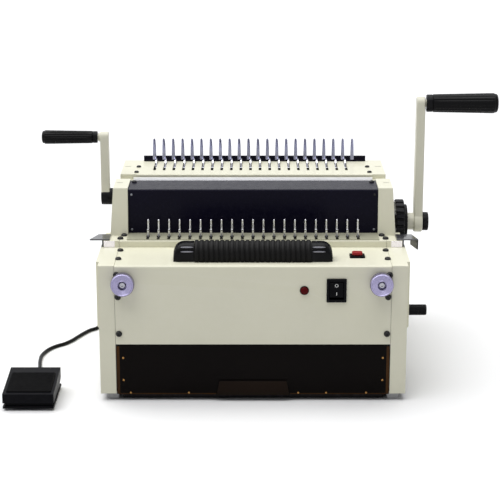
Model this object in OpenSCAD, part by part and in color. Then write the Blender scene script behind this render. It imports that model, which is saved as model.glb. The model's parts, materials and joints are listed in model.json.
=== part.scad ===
// Electric punch and comb binding machine with two comb stations and a foot pedal.
// Millimetres, +Z up. Pieces are drawn with x = 0 on the machine's centre line, y = 0 on its
// front panel and z = 0 on the floor; in_place() then moves the floor point under the middle
// of the whole outfit (machine, cranks and pedal) to the origin.

/* [Body] */
// Width over the front of the two side covers
body_w = 404; // [390:1:420]
// Depth from the front panel to the rear cover
body_d = 400; // [390:1:430]
// Thickness of the painted sheet metal
sheet_t = 2; // [1.5:0.1:2.5]
// Height of the front deck
deck_z = 186; // [184:1:192]
// Depth of the front deck, from the panel to the riser
deck_d = 92; // [90:1:94]
// Height of the middle deck, where the front comb station stands
station_z = 195; // [194:1:198]
// Width of the front flange of each side cover
flange_w = 21; // [18:1:23]
// Height of the side covers' lower edge above the floor
cover_lift = 10; // [8:0.5:11]
// Thickness of the inner frame plates
frame_t = 4; // [3:0.5:4]
// How far the pressed swelling of each side cover stands out
swell = 4; // [3:0.5:7]
// Height of the rubber feet
foot_h = 11; // [10.5:0.5:14]
// Width of a rubber foot
foot_w = 17; // [12:1:20]
// Depth of a rubber foot
foot_d = 30; // [20:1:40]

/* [Head] */
// Depth of the middle deck, from the riser to the black cover
station_d = 38; // [36:0.5:40]
// Height of the black cover's flat top
head_z = 257; // [245:1:265]
// Depth of the black cover's flat top
head_d = 58; // [50:1:58]
// Width of an end housing's tower at its foot
tower_w = 24; // [23:0.5:26]
// How much higher the end housings stand than the black cover
tower_rise = 2; // [1:0.5:4]
// How much narrower a tower is at its top
tower_taper = 4; // [2:0.5:6]
// How far the end housings, and the covers behind them, stand in from the front of the side covers
tower_inset = 7; // [5:0.5:8]
// How far forward the front of an end housing leans at its foot
tower_lean = 9; // [2:1:12]

/* [Rear deck] */
// Height of the rear deck
rear_z = 239; // [238:0.5:244]
// Width of an end housing beside the rear deck
rear_w = 20; // [18:0.5:23]
// Width of the slot that takes the paper edge
throat_w = 4.5; // [3:0.5:5]
// Distance of the paper slot's rear edge from the back of the body
throat_back = 96.5; // [94:0.5:100]
// Height of the rear fingers above the deck
finger_h = 35.5; // [30:0.5:50]
// Width of a rear finger at its root
finger_w = 4.6; // [3:0.2:5]

/* [Comb] */
// Distance from one comb tooth to the next
comb_pitch = 14.29; // [14:0.01:14.4]
// Number of comb teeth
comb_teeth = 21; // [19:1:21]
// Width of the slots that the hooks run in
slot_w = 4; // [3.4:0.1:4.6]
// Thickness of a hook
hook_t = 2.6; // [1.8:0.1:2.8]
// Height of the front pins above their plate
pin_h = 23; // [15:1:30]
// Diameter of a front pin
pin_d = 2.9; // [2:0.1:3.4]

/* [Punch] */
// Width of a punch pin, and of the hole it makes
punch_w = 8; // [6:0.5:9]
// Height of a punch pin
punch_h = 3; // [2:0.25:4]
// Stroke of the punch ram
punch_stroke = 12; // [9:0.5:13]
// Clearance around a punch pin in its guide
punch_gap = 0.15; // [0.1:0.05:0.3]
// Diameter of the cam shaft
cam_shaft_d = 14; // [10:1:15]
// Module of the drive gears
drive_module = 2; // [1.5:0.5:2]

/* [Left crank] */
// Length of the left crank's arm between its centres
left_arm = 88.5; // [80:0.5:110]
// Diameter of the left crank's shaft
left_shaft_d = 12; // [8:1:13]
// Length of the left grip
left_grip_l = 81; // [60:1:90]
// Largest diameter of the left grip
left_grip_d = 20; // [16:1:24]

/* [Right crank] */
// Length of the right crank's arm between its centres
right_arm = 168.6; // [150:0.2:180]
// Diameter of the right crank's shaft
right_shaft_d = 12; // [8:1:13]
// Length of the right grip
right_grip_l = 99; // [80:1:110]
// Largest diameter of the right grip
right_grip_d = 28; // [20:1:30]
// Diameter of the comb size dial
dial_d = 62; // [50:1:66]

/* [Chip drawer] */
// Height of the drawer's front plate
drawer_h = 69; // [63:0.5:70]
// Room behind the chip drawer's box
drawer_room = 123; // [121:1:190]
// Thickness of the drawer's walls
drawer_t = 4; // [2:0.5:5]

/* [Controls] */
// Diameter of the two knurled knobs
knob_d = 31; // [24:1:34]
// Thickness of the two knurled knobs
knob_t = 12; // [8:1:16]
// Diameter of the pilot lamp's lens
lamp_d = 12; // [8:0.5:14]
// Width of the switch bezel
switch_w = 26; // [22:1:30]
// Height of the switch bezel
switch_h = 32; // [28:1:36]
// Diameter of the margin knob on the right side
margin_d = 14.5; // [10:0.5:16]
// Length of the margin knob
margin_l = 27; // [14:1:30]

/* [Carry handle] */
// Length of the carry handle over its end caps
handle_l = 209; // [180:1:230]
// Depth of the carry handle
handle_w = 30; // [24:1:32]
// Height of the carry handle
handle_h = 25.8; // [24:0.2:28]
// Length of one end cap
handle_cap = 27; // [20:1:32]

/* [Pedal] */
// Width of the foot pedal
pedal_w = 67; // [55:1:75]
// Depth of the foot pedal
pedal_d = 88; // [70:1:95]
// Height of the foot pedal at its front
pedal_front_h = 23; // [21:1:26]
// Height of the foot pedal at its back
pedal_rear_h = 31; // [29:1:34]

/* [Cord] */
// Diameter of the pedal cord
cord_d = 5.2; // [4.5:0.1:6]
// Turns of the cord's coil that lie side by side in one layer
coil_turns = 3; // [2:1:4]
// Diameter of the coil at the middle of its turns
coil_d = 60; // [50:1:80]

/* [Hidden] */
$fn = 48;
fit = 0.3;                       // gap between faces of pieces that move past each other
running = 0.06;                  // radial clearance of a shaft in its bush
half_w = body_w / 2;
head_y = deck_d + station_d;
tower_half = half_w - tower_inset;
tower_top_half = tower_half - tower_taper;
head_half = tower_half - tower_w;
rear_half = tower_half - rear_w;
throat_y = body_d - throat_back;
panel_half = half_w - flange_w - 0.4;
drawer_half = panel_half - 0.4;
base_top = foot_h + sheet_t;
drawer_z0 = foot_h - 2;
panel_z = drawer_z0 + drawer_h + 0.8;
tower_z = head_z + tower_rise;
head_back = head_y + head_d;
comb_half = comb_pitch * (comb_teeth - 1) / 2;
frame_x = tower_half - 15;       // inner face of a frame plate
frame_out = frame_x + frame_t;
gear_x = frame_out + 1.3;        // inner face of the gears outside the frames
gear_w = 6;
cover_y = body_d - sheet_t;      // inner face of the rear cover

// Front comb station
plate_t = 1.2;
station_plate_z = station_z + plate_t;
pin_y = head_y - 11.5;
hook_y = pin_y - 6;
hook_l = 3.4;
front_hook_h = 10;
front_bar_h = 6;
front_module = 1;
front_pinion_teeth = 16;
front_pinion_r = front_module * front_pinion_teeth / 2;
right_turn = 105;
front_travel = front_pinion_r * right_turn * PI / 180;

// Right crank
right_y = head_back + 7;
right_z = 196;
dial_x = tower_half + 5;
dial_t = 16.4;
right_hub_x = dial_x + dial_t + 0.6;
right_arm_x = right_hub_x + 9.3;
arm_t = 12;
right_gap = 1.8;                 // between the right arm and its grip
idler_y = right_y;
idler_z = right_z - 2 * front_pinion_r;
front_rack_z = idler_z - front_pinion_r;

// Left crank
left_y = throat_y - 8.5;
left_z = 208;
left_module = 2;
left_pinion_teeth = 16;
left_pinion_r = left_module * left_pinion_teeth / 2;
rear_rack_z = left_z + left_pinion_r;
left_hub_x = tower_half + 10.4;
left_arm_x = left_hub_x + 10.6;

// Rear comb station
finger_y = body_d - 8;
finger_shift = -6.7;             // the fingers stand left of the teeth's middle
hook_shift = finger_shift + 3;
rear_stem_y = finger_y - 9;
rear_stem_l = 6;
rear_slot_y = throat_y + 27.5;
rear_travel = 44;
rear_bar_z = rear_z - sheet_t - 0.6;
rear_bar_h = 6.4;

// Punch
die_y = throat_y - throat_w;
die_d = 18;
die_z0 = 198;
lip_d = 7;                       // depth of the die's raised lip
lip_top = rear_z - 3.4;
mid_top = rear_z - 7.5;          // top of the sheet between the black cover and the paper slot
die_z1 = mid_top - sheet_t - fit;
guide_d = 12;
punch_z = 212;
ram_y = throat_y + 28.5;
ram_d = 14;
ram_h = 22;
pin_tip_y = throat_y + 1;
cam_y = throat_y + 62.5;
cam_z = 206;
cam_x = 40;
cam_w = 10;
pad_d = 8;                       // how far a cam follower stands behind the ram
pad_r = 5;                       // radius of its rounded end
cam_r0 = cam_y - (ram_y + ram_d + pad_d) - 2 * fit;
drive_teeth = 20;
motor_teeth = 24;
drive_r = drive_module * drive_teeth / 2;
motor_r = drive_module * motor_teeth / 2;
motor_z = cam_z - drive_r - motor_r;
motor_d = 52;
motor_x0 = 78;

// Controls on the front
knob_left_x = panel_half - 11.2;
knob_right_x = panel_half - 13.6;
knob_z = 163.6;
knob_gap = 3.4;                  // how far a knob's disc stands off the panel
lamp_x = 67;
lamp_z = 153;
switch_x = 109;
switch_z = 153;
button_x = 138;
button_y = 45;
margin_y = 62;
margin_z = 107;
handle_y = 19;

// Pedal, at the machine's left
pedal_x = -half_w - 91.5;
pedal_y0 = -38;
pedal_skin = 2;
pedal_foot_h = 3;
pedal_pin_r = 3;
pedal_pin_y = pedal_y0 + pedal_d - 12;
pedal_pin_z = 19;
treadle_t = 2.5;

// Cord
gland_x = -150;
gland_z = 40;
coil_x = -60;
coil_y = body_d + 70;

right_reach = right_arm_x + arm_t + right_gap + right_grip_l;
left_reach = pedal_x - pedal_w / 2;
mid_x = (right_reach + left_reach) / 2;
front_reach = pedal_y0;
mid_y = (front_reach + body_d + 2) / 2;

// ---------------------------------------------------------------- helpers

// Moves a piece from the machine's own frame to the part's frame.
module in_place() translate([-mid_x, -mid_y, 0]) children();

// A block between two opposite corners.
module block(lo, hi) translate(lo) cube(hi - lo);

// Round bars along X, Y and Z.
module bar_x(d, x0, x1, y, z) translate([x0, y, z]) rotate([0, 90, 0]) cylinder(d = d, h = x1 - x0);
module bar_y(d, y0, y1, x, z) translate([x, y0, z]) rotate([-90, 0, 0]) cylinder(d = d, h = y1 - y0);
module bar_z(d, z0, z1, x, y) translate([x, y, z0]) cylinder(d = d, h = z1 - z0);

// An outline of [y, z] points, made into a plate from x0 to x1.
module plate_x(x0, x1, points) {
    translate([x0, 0, 0]) rotate([90, 0, 90]) linear_extrude(x1 - x0) polygon(points);
}

// An outline of [x, z] points, made into a plate from y0 to y1.
module plate_y(y0, y1, points) {
    translate([0, y1, 0]) rotate([90, 0, 0]) linear_extrude(y1 - y0) polygon(points);
}

// Draws its children as they are on the right side, or mirrored on the left.
module on_side(side) {
    if (side > 0) children();
    else mirror([1, 0, 0]) children();
}

// A button-head screw with its hexagon socket, its seat at z = 0.
module screw_head(d = 8.4, h = 3) {
    difference() {
        intersection() {
            translate([0, 0, h - d]) sphere(d = 2 * d);
            cylinder(d = d, h = h);
        }
        translate([0, 0, h - 1.6]) cylinder(d = d * 0.42, h = 2, $fn = 6);
    }
}

function gear_points(teeth, m, phase) = [
    for (i = [0 : teeth - 1], k = [0 : 3])
        let (r0 = m * teeth / 2 - 1.25 * m,
             r1 = m * teeth / 2 + 0.85 * m,
             a = phase + 360 / teeth * (i + [-0.27, -0.10, 0.10, 0.27][k]),
             r = [r0, r1, r1, r0][k])
            [r * cos(a), r * sin(a)]
];

// A spur gear on the X axis through (y, z); a tooth points along `phase`, measured from +Y to +Z.
module gear_x_axis(teeth, m, bore, x, w, y, z, phase) {
    translate([x, y, z]) rotate([90, 0, 90]) difference() {
        linear_extrude(w) polygon(gear_points(teeth, m, phase));
        translate([0, 0, -1]) cylinder(d = bore, h = w + 2);
    }
}

// Points of a toothed rack's working edge: teeth of module m, a gap centred at y_mesh.
function rack_edge(m, y_mesh, first, last, pitch_z, up) = [
    for (i = [first : last], k = [0 : 3])
        [y_mesh + PI * m * (i + 0.5 + [-0.27, -0.10, 0.10, 0.27][k]),
         pitch_z + up * m * [-1.25, 0.85, 0.85, -1.25][k]]
];

// ---------------------------------------------------------------- base and frame

base_half = half_w - sheet_t - 0.4;
rear_base_half = tower_half - sheet_t - 0.4;
joggle_y = head_y + 6;           // where a side cover steps in to stand flush with the tower

module base_plate() color("dimgray") in_place() {
    block([-base_half, 6, foot_h], [base_half, joggle_y - sheet_t - 0.4, base_top]);
    block([-rear_base_half, 6, foot_h], [rear_base_half, cover_y - 0.4, base_top]);
}

module rubber_foot(x, y) {
    block([x - foot_w / 2, y, 0], [x + foot_w / 2, y + foot_d, foot_h]);
}

module feet() color("gray") in_place() {
    for (side = [-1, 1]) {
        rubber_foot(side * (base_half - foot_w / 2 - 5), 6.2);
        rubber_foot(side * (rear_base_half - foot_w / 2 - 5), body_d - 6 - foot_d);
    }
    for (x = [-1, 1], y = [pedal_y0 + 9, pedal_y0 + pedal_d - 16])
        bar_z(9, 0, pedal_foot_h, pedal_x + x * (pedal_w / 2 - 9), y);
}

// Inner side plate that carries the shafts, the die and the end housing.
module side_frame(side) {
    on_side(side) difference() {
        plate_x(frame_x, frame_out, [
            [12, base_top], [12, deck_z - 18], [head_y + 14, deck_z - 18], [head_y + 14, tower_z - 12],
            [head_back - 6, tower_z - 12], [head_back - 6, station_z + 26],
            [throat_y - 4, station_z + 26], [throat_y - 4, rear_z - 13],
            [cover_y - 6, rear_z - 13], [cover_y - 6, base_top]
        ]);
        bar_x(cam_shaft_d + 2 * running, frame_x - 1, frame_out + 1, cam_y, cam_z);
        if (side > 0) {
            bar_x(20, frame_x - 1, frame_out + 1, right_y, right_z);
            bar_x(16, frame_x - 1, frame_out + 1, cam_y, motor_z);
        } else {
            bar_x(20, frame_x - 1, frame_out + 1, left_y, left_z);
        }
    }
}

module side_frame_left() color("slategray") in_place() side_frame(-1);

module side_frame_right() color("slategray") in_place() {
    side_frame(1);
    bar_x(5, frame_out, gear_x + gear_w + 1, idler_y, idler_z);
}

// ---------------------------------------------------------------- painted covers

swell_z0 = 93;
swell_y0 = 20;
swell_y1 = head_y;

// The pressed swelling of a side cover, as a block grown by `grow`.
module swelling(grow) {
    x1 = half_w + swell + grow;
    translate([0, swell_y0 - grow, 0]) mirror([0, 1, 0]) translate([0, -(swell_y1 - swell_y0) - 2 * grow, 0])
        rotate([90, 0, 0]) translate([0, 0, -(swell_y1 - swell_y0) - 2 * grow])
            linear_extrude(swell_y1 - swell_y0 + 2 * grow) polygon([
                [half_w - 2 * sheet_t, swell_z0 - grow],
                [half_w, swell_z0 - grow],
                [x1, swell_z0 + swell - grow],
                [x1, deck_z + grow],
                [half_w - 2 * sheet_t, deck_z + grow]
            ]);
}

module side_cover(side) {
    x_in = half_w - flange_w;
    on_side(side) difference() {
        union() {
            plate_x(half_w - sheet_t, half_w, [
                [0, cover_lift], [joggle_y, cover_lift], [joggle_y, station_z],
                [deck_d, station_z], [deck_d, deck_z], [0, deck_z]
            ]);
            block([tower_half - sheet_t, joggle_y - sheet_t, cover_lift], [half_w, joggle_y, station_z]);
            block([tower_half - sheet_t, joggle_y - sheet_t, cover_lift], [tower_half, body_d, station_z]);
            block([x_in, 0, cover_lift], [half_w, sheet_t, deck_z]);
            block([x_in, 0, deck_z - sheet_t], [half_w, deck_d + sheet_t, deck_z]);
            block([x_in, deck_d, deck_z - sheet_t], [half_w, deck_d + sheet_t, station_z]);
            block([x_in, deck_d, station_z - sheet_t], [half_w, head_y - tower_lean - 0.4, station_z]);
            block([tower_half + 0.4, head_y - tower_lean - 1, station_z - sheet_t], [half_w, joggle_y, station_z]);
            block([x_in, cover_y, cover_lift], [tower_half, body_d, station_z - 0.4]);
            swelling(0);
        }
        difference() {
            swelling(-sheet_t);
            block([half_w - 3 * sheet_t, 0, 0], [half_w - 2 * sheet_t, body_d, station_z]);
        }
        if (side > 0) {
            bar_x(20.4, tower_half - 9, tower_half + 9, right_y, right_z);
            bar_x(8.4, half_w - 9, half_w + 9, margin_y, margin_z);
        } else {
            bar_x(20.4, tower_half - 9, tower_half + 9, left_y, left_z);
        }
    }
}

module side_cover_left() color("ivory") in_place() side_cover(-1);

module side_cover_right() color("ivory") in_place() side_cover(1);

station_back = head_y + 12;

function comb_x(i, shift = 0) = -comb_half + comb_pitch * i + shift;

// One bent sheet: front panel, front deck, riser and middle deck.
module front_cover() color("ivory") in_place() difference() {
    plate_x(-panel_half, panel_half, [
        [0, panel_z], [0, deck_z], [deck_d, deck_z], [deck_d, station_z],
        [station_back, station_z], [station_back, station_z - sheet_t],
        [deck_d + sheet_t, station_z - sheet_t], [deck_d + sheet_t, deck_z - sheet_t],
        [sheet_t, deck_z - sheet_t], [sheet_t, panel_z]
    ]);
    for (x = [-knob_left_x, knob_right_x])
        bar_y(8.4, -1, sheet_t + 1, x, knob_z);
    bar_y(lamp_d - 2, -1, sheet_t + 1, lamp_x, lamp_z);
    block([switch_x - switch_w / 2 + 2, -1, switch_z - switch_h / 2 + 2],
          [switch_x + switch_w / 2 - 2, sheet_t + 1, switch_z + switch_h / 2 - 2]);
    bar_z(button_bore + 2, deck_z - sheet_t - 1, deck_z + 1, button_x, button_y);
    for (i = [0 : comb_teeth - 1])
        station_slot(i, station_z - sheet_t - 1, station_z + 1);
}

slot_y0 = pin_y - 6 - front_travel - 2.2;
slot_y1 = pin_y - 6 + 2.6;

module station_slot(i, z0, z1) {
    block([comb_x(i) - slot_w / 2, slot_y0, z0], [comb_x(i) + slot_w / 2, slot_y1, z1]);
}

// Grey plate of the front comb station.
module comb_plate() color("darkseagreen") in_place() difference() {
    block([-head_half, deck_d + 2.6, station_z], [head_half, head_y - 0.3, station_plate_z]);
    for (i = [0 : comb_teeth - 1])
        station_slot(i, station_z - 1, station_plate_z + 1);
}

// Outer shape of an end housing, drawn in by `t` on its outside faces for the hollow.
module housing_form(t) {
    drop = t > 0 ? 1 : 0;
    difference() {
        plate_y(head_y - tower_lean + t, head_back - t, [
            [head_half + t, station_z - drop], [tower_half - t, station_z - drop],
            [tower_top_half - t, tower_z - t], [head_half + t, tower_z - t]
        ]);
        plate_x(head_half - 1, tower_half + 1, [
            [head_y - tower_lean - 2 + t, station_z - 2], [head_y - tower_lean + t, station_z - 2],
            [head_y - tower_lean + t, station_z], [head_y + t, tower_z + 1],
            [head_y - tower_lean - 2 + t, tower_z + 1]
        ]);
    }
    plate_x(rear_half - drop, tower_half - t, [
        [head_back - 2 * t, station_z - drop], [body_d - t, station_z - drop], [body_d - t, rear_z - t],
        [throat_y + t, rear_z - t], [throat_y + t, mid_top - t], [head_back - 2 * t, mid_top - t]
    ]);
}

module end_housing(side) {
    on_side(side) difference() {
        housing_form(0);
        housing_form(sheet_t);
        block([tower_half - 15, head_back - 25, tower_z - sheet_t - 1], [tower_half - 6.5, head_back - 23, tower_z + 1]);
        block([tower_half - 12, body_d - 44, rear_z - sheet_t - 1], [tower_half - 3, body_d - 42, rear_z + 1]);
        if (side > 0) bar_x(20.2, tower_half - 5, tower_half + 5, right_y, right_z);
        else bar_x(20.2, tower_half - 5, tower_half + 5, left_y, left_z);
    }
}

module end_housing_left() color("ivory") in_place() end_housing(-1);

module end_housing_right() color("ivory") in_place() end_housing(1);

// Black bent sheet over the mechanism: front, flat top and back.
module head_cover() color("midnightblue") in_place() {
    plate_x(-head_half, head_half, [
        [head_y, station_z], [head_y, head_z], [head_back, head_z], [head_back, mid_top],
        [head_back - sheet_t, mid_top], [head_back - sheet_t, head_z - sheet_t],
        [head_y + sheet_t, head_z - sheet_t], [head_y + sheet_t, station_z]
    ]);
}

// Sheet between the black cover and the paper slot, with a flange down its back.
module throat_deck() color("gainsboro") in_place() {
    flange_y = die_y - die_d - fit;
    plate_x(-rear_half, rear_half, [
        [head_back + fit, mid_top], [die_y - lip_d - fit, mid_top],
        [die_y - lip_d - fit, mid_top - sheet_t], [flange_y, mid_top - sheet_t],
        [flange_y, mid_top - 22], [flange_y - sheet_t, mid_top - 22],
        [flange_y - sheet_t, mid_top - sheet_t], [head_back + fit, mid_top - sheet_t]
    ]);
}

module rear_deck() color("ivory") in_place() difference() {
    plate_x(-rear_half, rear_half, [
        [throat_y, die_z1 + fit], [throat_y, rear_z], [cover_y, rear_z], [cover_y, rear_z - sheet_t],
        [throat_y + sheet_t, rear_z - sheet_t], [throat_y + sheet_t, die_z1 + fit]
    ]);
    for (i = [0 : comb_teeth - 1])
        block([comb_x(i, hook_shift) - slot_w / 2, rear_slot_y, rear_z - sheet_t - 1],
              [comb_x(i, hook_shift) + slot_w / 2, finger_y - 2, rear_z + 1]);
}

inlet_x = 120;
inlet_z = 48;
inlet_w = 28;
inlet_h = 22;

module rear_cover() color("ivory") in_place() difference() {
    union() {
        block([-panel_half, cover_y, base_top], [panel_half, body_d, station_z]);
        block([-rear_half, cover_y, station_z], [rear_half, body_d, rear_z]);
    }
    block([inlet_x - inlet_w / 2, cover_y - 1, inlet_z - inlet_h / 2],
          [inlet_x + inlet_w / 2, body_d + 1, inlet_z + inlet_h / 2]);
    bar_y(12, cover_y - 1, body_d + 1, gland_x, gland_z);
    for (i = [0 : 11])
        block([60 + 8 * i, cover_y - 1, motor_z - 22], [64 + 8 * i, body_d + 1, motor_z + 22]);
}

// ---------------------------------------------------------------- rear comb station

page_x0 = -comb_half - 23.1;
page_x1 = comb_half + 28.1;

module page_plate() color("black") in_place() {
    block([page_x0, finger_y + 1.4, rear_z], [page_x1, finger_y + 3.4, rear_z + 8.5]);
}

// A tall tapered finger with its root at z = 0, centred on x = 0.
module finger(h, w) {
    rotate([90, 0, 0]) translate([0, 0, -1.4]) linear_extrude(1.4) polygon([
        [-w / 2, 0], [w / 2, 0], [w / 2 - 0.5, h * 0.6], [w / 4, h - 2.5], [-w / 8, h], [-w / 3, h - 2],
        [-w / 2 + 0.3, h * 0.6]
    ]);
}

module rear_fingers() color("lightsteelblue") in_place() {
    block([page_x0 + 2, finger_y, rear_z], [page_x1 - 2, finger_y + 1.4, rear_z + 3]);
    for (i = [0 : comb_teeth])
        translate([comb_x(i, finger_shift), finger_y, rear_z]) finger(finger_h, finger_w);
}

// Hooks that stand through the rear deck's slots, their bar with the plate that closes the
// slots from below, and the rack.
module rear_hooks() color("silver") in_place() {
    z0 = rear_bar_z - rear_bar_h;
    rack_z = rear_rack_z;
    block([-gear_x - gear_w, finger_y - 18, z0], [comb_half, finger_y - 3, rear_bar_z]);
    block([-comb_half - 4, throat_y + sheet_t + rear_travel + 11.5, rear_bar_z - 2], [comb_half, finger_y - 17, rear_bar_z]);
    for (i = [0 : comb_teeth - 1])
        plate_x(comb_x(i, hook_shift) - hook_t / 2, comb_x(i, hook_shift) + hook_t / 2, [
            [rear_stem_y, z0 + 1], [rear_stem_y + rear_stem_l, z0 + 1],
            [rear_stem_y + rear_stem_l, rear_z + 3], [rear_stem_y + 3, rear_z + 5.5],
            [rear_stem_y - 5, rear_z + 4.5], [rear_stem_y - 8, rear_z + 1],
            [rear_stem_y - 5.5, rear_z + 1], [rear_stem_y - 3.5, rear_z + 2.2],
            [rear_stem_y, rear_z + 2.2]
        ]);
    plate_x(-gear_x - gear_w, -gear_x, concat(
        [[finger_y - 3, rack_z + left_module * 1.25], [finger_y - 3, z0 + 1],
         [finger_y - 18, z0 + 1], [finger_y - 18, rack_z + left_module * 1.25 + 3],
         [left_y - 8, rack_z + left_module * 1.25 + 3], [left_y - 8, rack_z + left_module * 1.25]],
        rack_edge(left_module, left_y, -1, 9, rack_z, -1)
    ));
}

// ---------------------------------------------------------------- front comb station

// Fixed pins with bent tips.
module front_pins() color("white") in_place() {
    bend_h = pin_h - 5;
    for (i = [0 : comb_teeth - 1]) translate([comb_x(i), pin_y, station_plate_z]) {
        cylinder(d = pin_d, h = bend_h, $fn = 24);
        translate([0, 0, bend_h]) sphere(d = pin_d + 0.1, $fn = 24);
        translate([0, 0, bend_h]) rotate([18, 0, 0]) cylinder(d = pin_d, h = 5, $fn = 24);
    }
}

// Hooks that stand through the front slots, their bar, arm and rack.
module front_hooks() color("silver") in_place() {
    bar_z1 = deck_z - sheet_t - 0.6;
    bar_z0 = bar_z1 - front_bar_h;
    rack_z = front_rack_z;
    root_z = rack_z - 1.25 * front_module;
    block([-comb_half - 4, hook_y - 8, bar_z0], [gear_x + gear_w, hook_y + 4, bar_z1]);
    for (i = [0 : comb_teeth - 1])
        plate_x(comb_x(i) - hook_t / 2, comb_x(i) + hook_t / 2, [
            [hook_y - hook_l / 2, bar_z1 - 1], [hook_y + hook_l / 2, bar_z1 - 1],
            [hook_y + hook_l / 2, station_plate_z + front_hook_h],
            [hook_y - hook_l / 2 - 1.5, station_plate_z + front_hook_h],
            [hook_y - hook_l / 2, station_plate_z + front_hook_h - 3]
        ]);
    plate_x(gear_x, gear_x + gear_w, concat(
        [[idler_y + 22, root_z], [idler_y + 22, root_z - 4], [hook_y - 8, root_z - 4],
         [hook_y - 8, bar_z1 - 1], [hook_y + 4, bar_z1 - 1], [hook_y + 4, root_z],
         [idler_y - 8, root_z]],
        rack_edge(front_module, idler_y + PI * front_module / 2, -3, 4, rack_z, 1)
    ));
}

// Reversing gear between the right crank's pinion and the front rack.
module front_idler() color("goldenrod") in_place() {
    gear_x_axis(front_pinion_teeth, front_module, 5 + 2 * running, gear_x, gear_w,
                idler_y, idler_z, 90 + 180 / front_pinion_teeth);
}

// ---------------------------------------------------------------- punch

module punch_holes(y0, y1) {
    for (i = [0 : comb_teeth - 1])
        block([comb_x(i) - punch_w / 2 - punch_gap, y0, punch_z - punch_h / 2 - punch_gap],
              [comb_x(i) + punch_w / 2 + punch_gap, y1, punch_z + punch_h / 2 + punch_gap]);
}

// Die with its raised lip along the paper slot.
module die_block() color("silver") in_place() difference() {
    union() {
        block([-frame_x, die_y - die_d, die_z0], [frame_x, die_y, die_z1]);
        block([-rear_half, die_y - lip_d, die_z0], [rear_half, die_y, lip_top]);
    }
    punch_holes(die_y - die_d - 1, die_y + 1);
}

// Guide for the punch pins, behind the paper slot.
module pin_guide() color("lightsteelblue") in_place() difference() {
    block([-frame_x, throat_y, die_z0], [frame_x, throat_y + guide_d, die_z1]);
    punch_holes(throat_y - 1, throat_y + guide_d + 1);
}

module punch_ram() color("dimgray") in_place() {
    z0 = punch_z - ram_h / 2;
    block([-frame_x + 4, ram_y, z0], [frame_x - 4, ram_y + ram_d, z0 + ram_h]);
    for (x = [-cam_x, cam_x]) {
        block([x - cam_w / 2 - 1, ram_y + ram_d, cam_z - pad_r], [x + cam_w / 2 + 1, ram_y + ram_d + pad_d - pad_r, cam_z + pad_r]);
        bar_x(2 * pad_r, x - cam_w / 2 - 1, x + cam_w / 2 + 1, ram_y + ram_d + pad_d - pad_r, cam_z);
    }
}

module punch_pins() color("white") in_place() {
    for (i = [0 : comb_teeth - 1])
        block([comb_x(i) - punch_w / 2, pin_tip_y, punch_z - punch_h / 2],
              [comb_x(i) + punch_w / 2, ram_y, punch_z + punch_h / 2]);
}

// Heart cam: its radius grows evenly over each half turn, so the ram moves evenly too.
function cam_points(steps = 60) = [
    for (i = [0 : steps - 1])
        let (a = 360 * i / steps, r = cam_r0 + punch_stroke * (1 - abs(180 - a) / 180))
            [-r * cos(a), r * sin(a)]
];

module cam_shaft() color("silver") in_place() {
    bar_x(cam_shaft_d, -frame_out - 0.5, gear_x + gear_w + 0.5, cam_y, cam_z);
    for (side = [-1, 1])
        translate([side * cam_x - cam_w / 2, cam_y, cam_z]) rotate([90, 0, 90])
            linear_extrude(cam_w) polygon(cam_points());
}

module drive_gear() color("goldenrod") in_place() {
    gear_x_axis(drive_teeth, drive_module, cam_shaft_d, gear_x, gear_w, cam_y, cam_z, 90);
}

module gearmotor() color("dimgray") in_place() difference() {
    union() {
        bar_x(motor_d, motor_x0, frame_x - 6, cam_y, motor_z);
        block([frame_x - 6, cam_y - 28, motor_z - 24], [frame_x, cam_y + 24, motor_z + 24]);
    }
    bar_x(10 + 2 * running, frame_x - 30, frame_x + 1, cam_y, motor_z);
}

module motor_gear() color("goldenrod") in_place() {
    bar_x(10, frame_x - 29, gear_x + 1, cam_y, motor_z);
    gear_x_axis(motor_teeth, drive_module, 4, gear_x, gear_w, cam_y, motor_z,
                90 + 180 / motor_teeth);
}

// ---------------------------------------------------------------- chip drawer

box_half = frame_x - 3;
box_z0 = base_top + fit;
box_z1 = drawer_z0 + drawer_h - 4;
drawer_front = 5;
drawer_l = body_d - drawer_front - drawer_room;

module chip_drawer() color("saddlebrown") in_place() {
    block([-drawer_half, 0, drawer_z0], [drawer_half, drawer_front, drawer_z0 + drawer_h]);
    plate_y(-3, 0, [[-49, drawer_z0], [49, drawer_z0], [45, drawer_z0 + 20], [-45, drawer_z0 + 20]]);
    difference() {
        block([-box_half, drawer_front, box_z0], [box_half, drawer_front + drawer_l, box_z1]);
        block([-box_half + drawer_t, drawer_front, box_z0 + drawer_t],
              [box_half - drawer_t, drawer_front + drawer_l - drawer_t, box_z1 + 1]);
    }
}

module drawer_screws() color("goldenrod") in_place() {
    for (x = [-0.466, 0.333, 0.538, 0.832] * drawer_half)
        translate([x, 0, drawer_z0 + 3.2]) rotate([90, 0, 0]) screw_head(3.6, 0.8);
    for (side = [-1, 1], z = [20, 51])
        translate([side * (drawer_half - 8.2), 0, drawer_z0 + z]) rotate([90, 0, 0]) screw_head(4, 0.9);
}

// ---------------------------------------------------------------- controls

module knurled_knob(x) translate([x, 0, knob_z]) rotate([90, 0, 0]) {
    translate([0, 0, -24]) cylinder(d = 8, h = 26);
    translate([0, 0, fit]) cylinder(d = 15, h = knob_gap);
    translate([0, 0, knob_gap]) {
        difference() {
            cylinder(d = knob_d, h = knob_t);
            translate([0, 0, knob_t - 6]) cylinder(d = 11, h = 8);
        }
        difference() {
            translate([0, 0, knob_t - 7]) cylinder(d = 9.4, h = 5);
            translate([0, 0, knob_t - 6]) cylinder(d = 5.8, h = 8, $fn = 6);
        }
    }
}

module knob_left() color("lightsteelblue") in_place() knurled_knob(-knob_left_x);

module knob_right() color("lightsteelblue") in_place() knurled_knob(knob_right_x);

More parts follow.
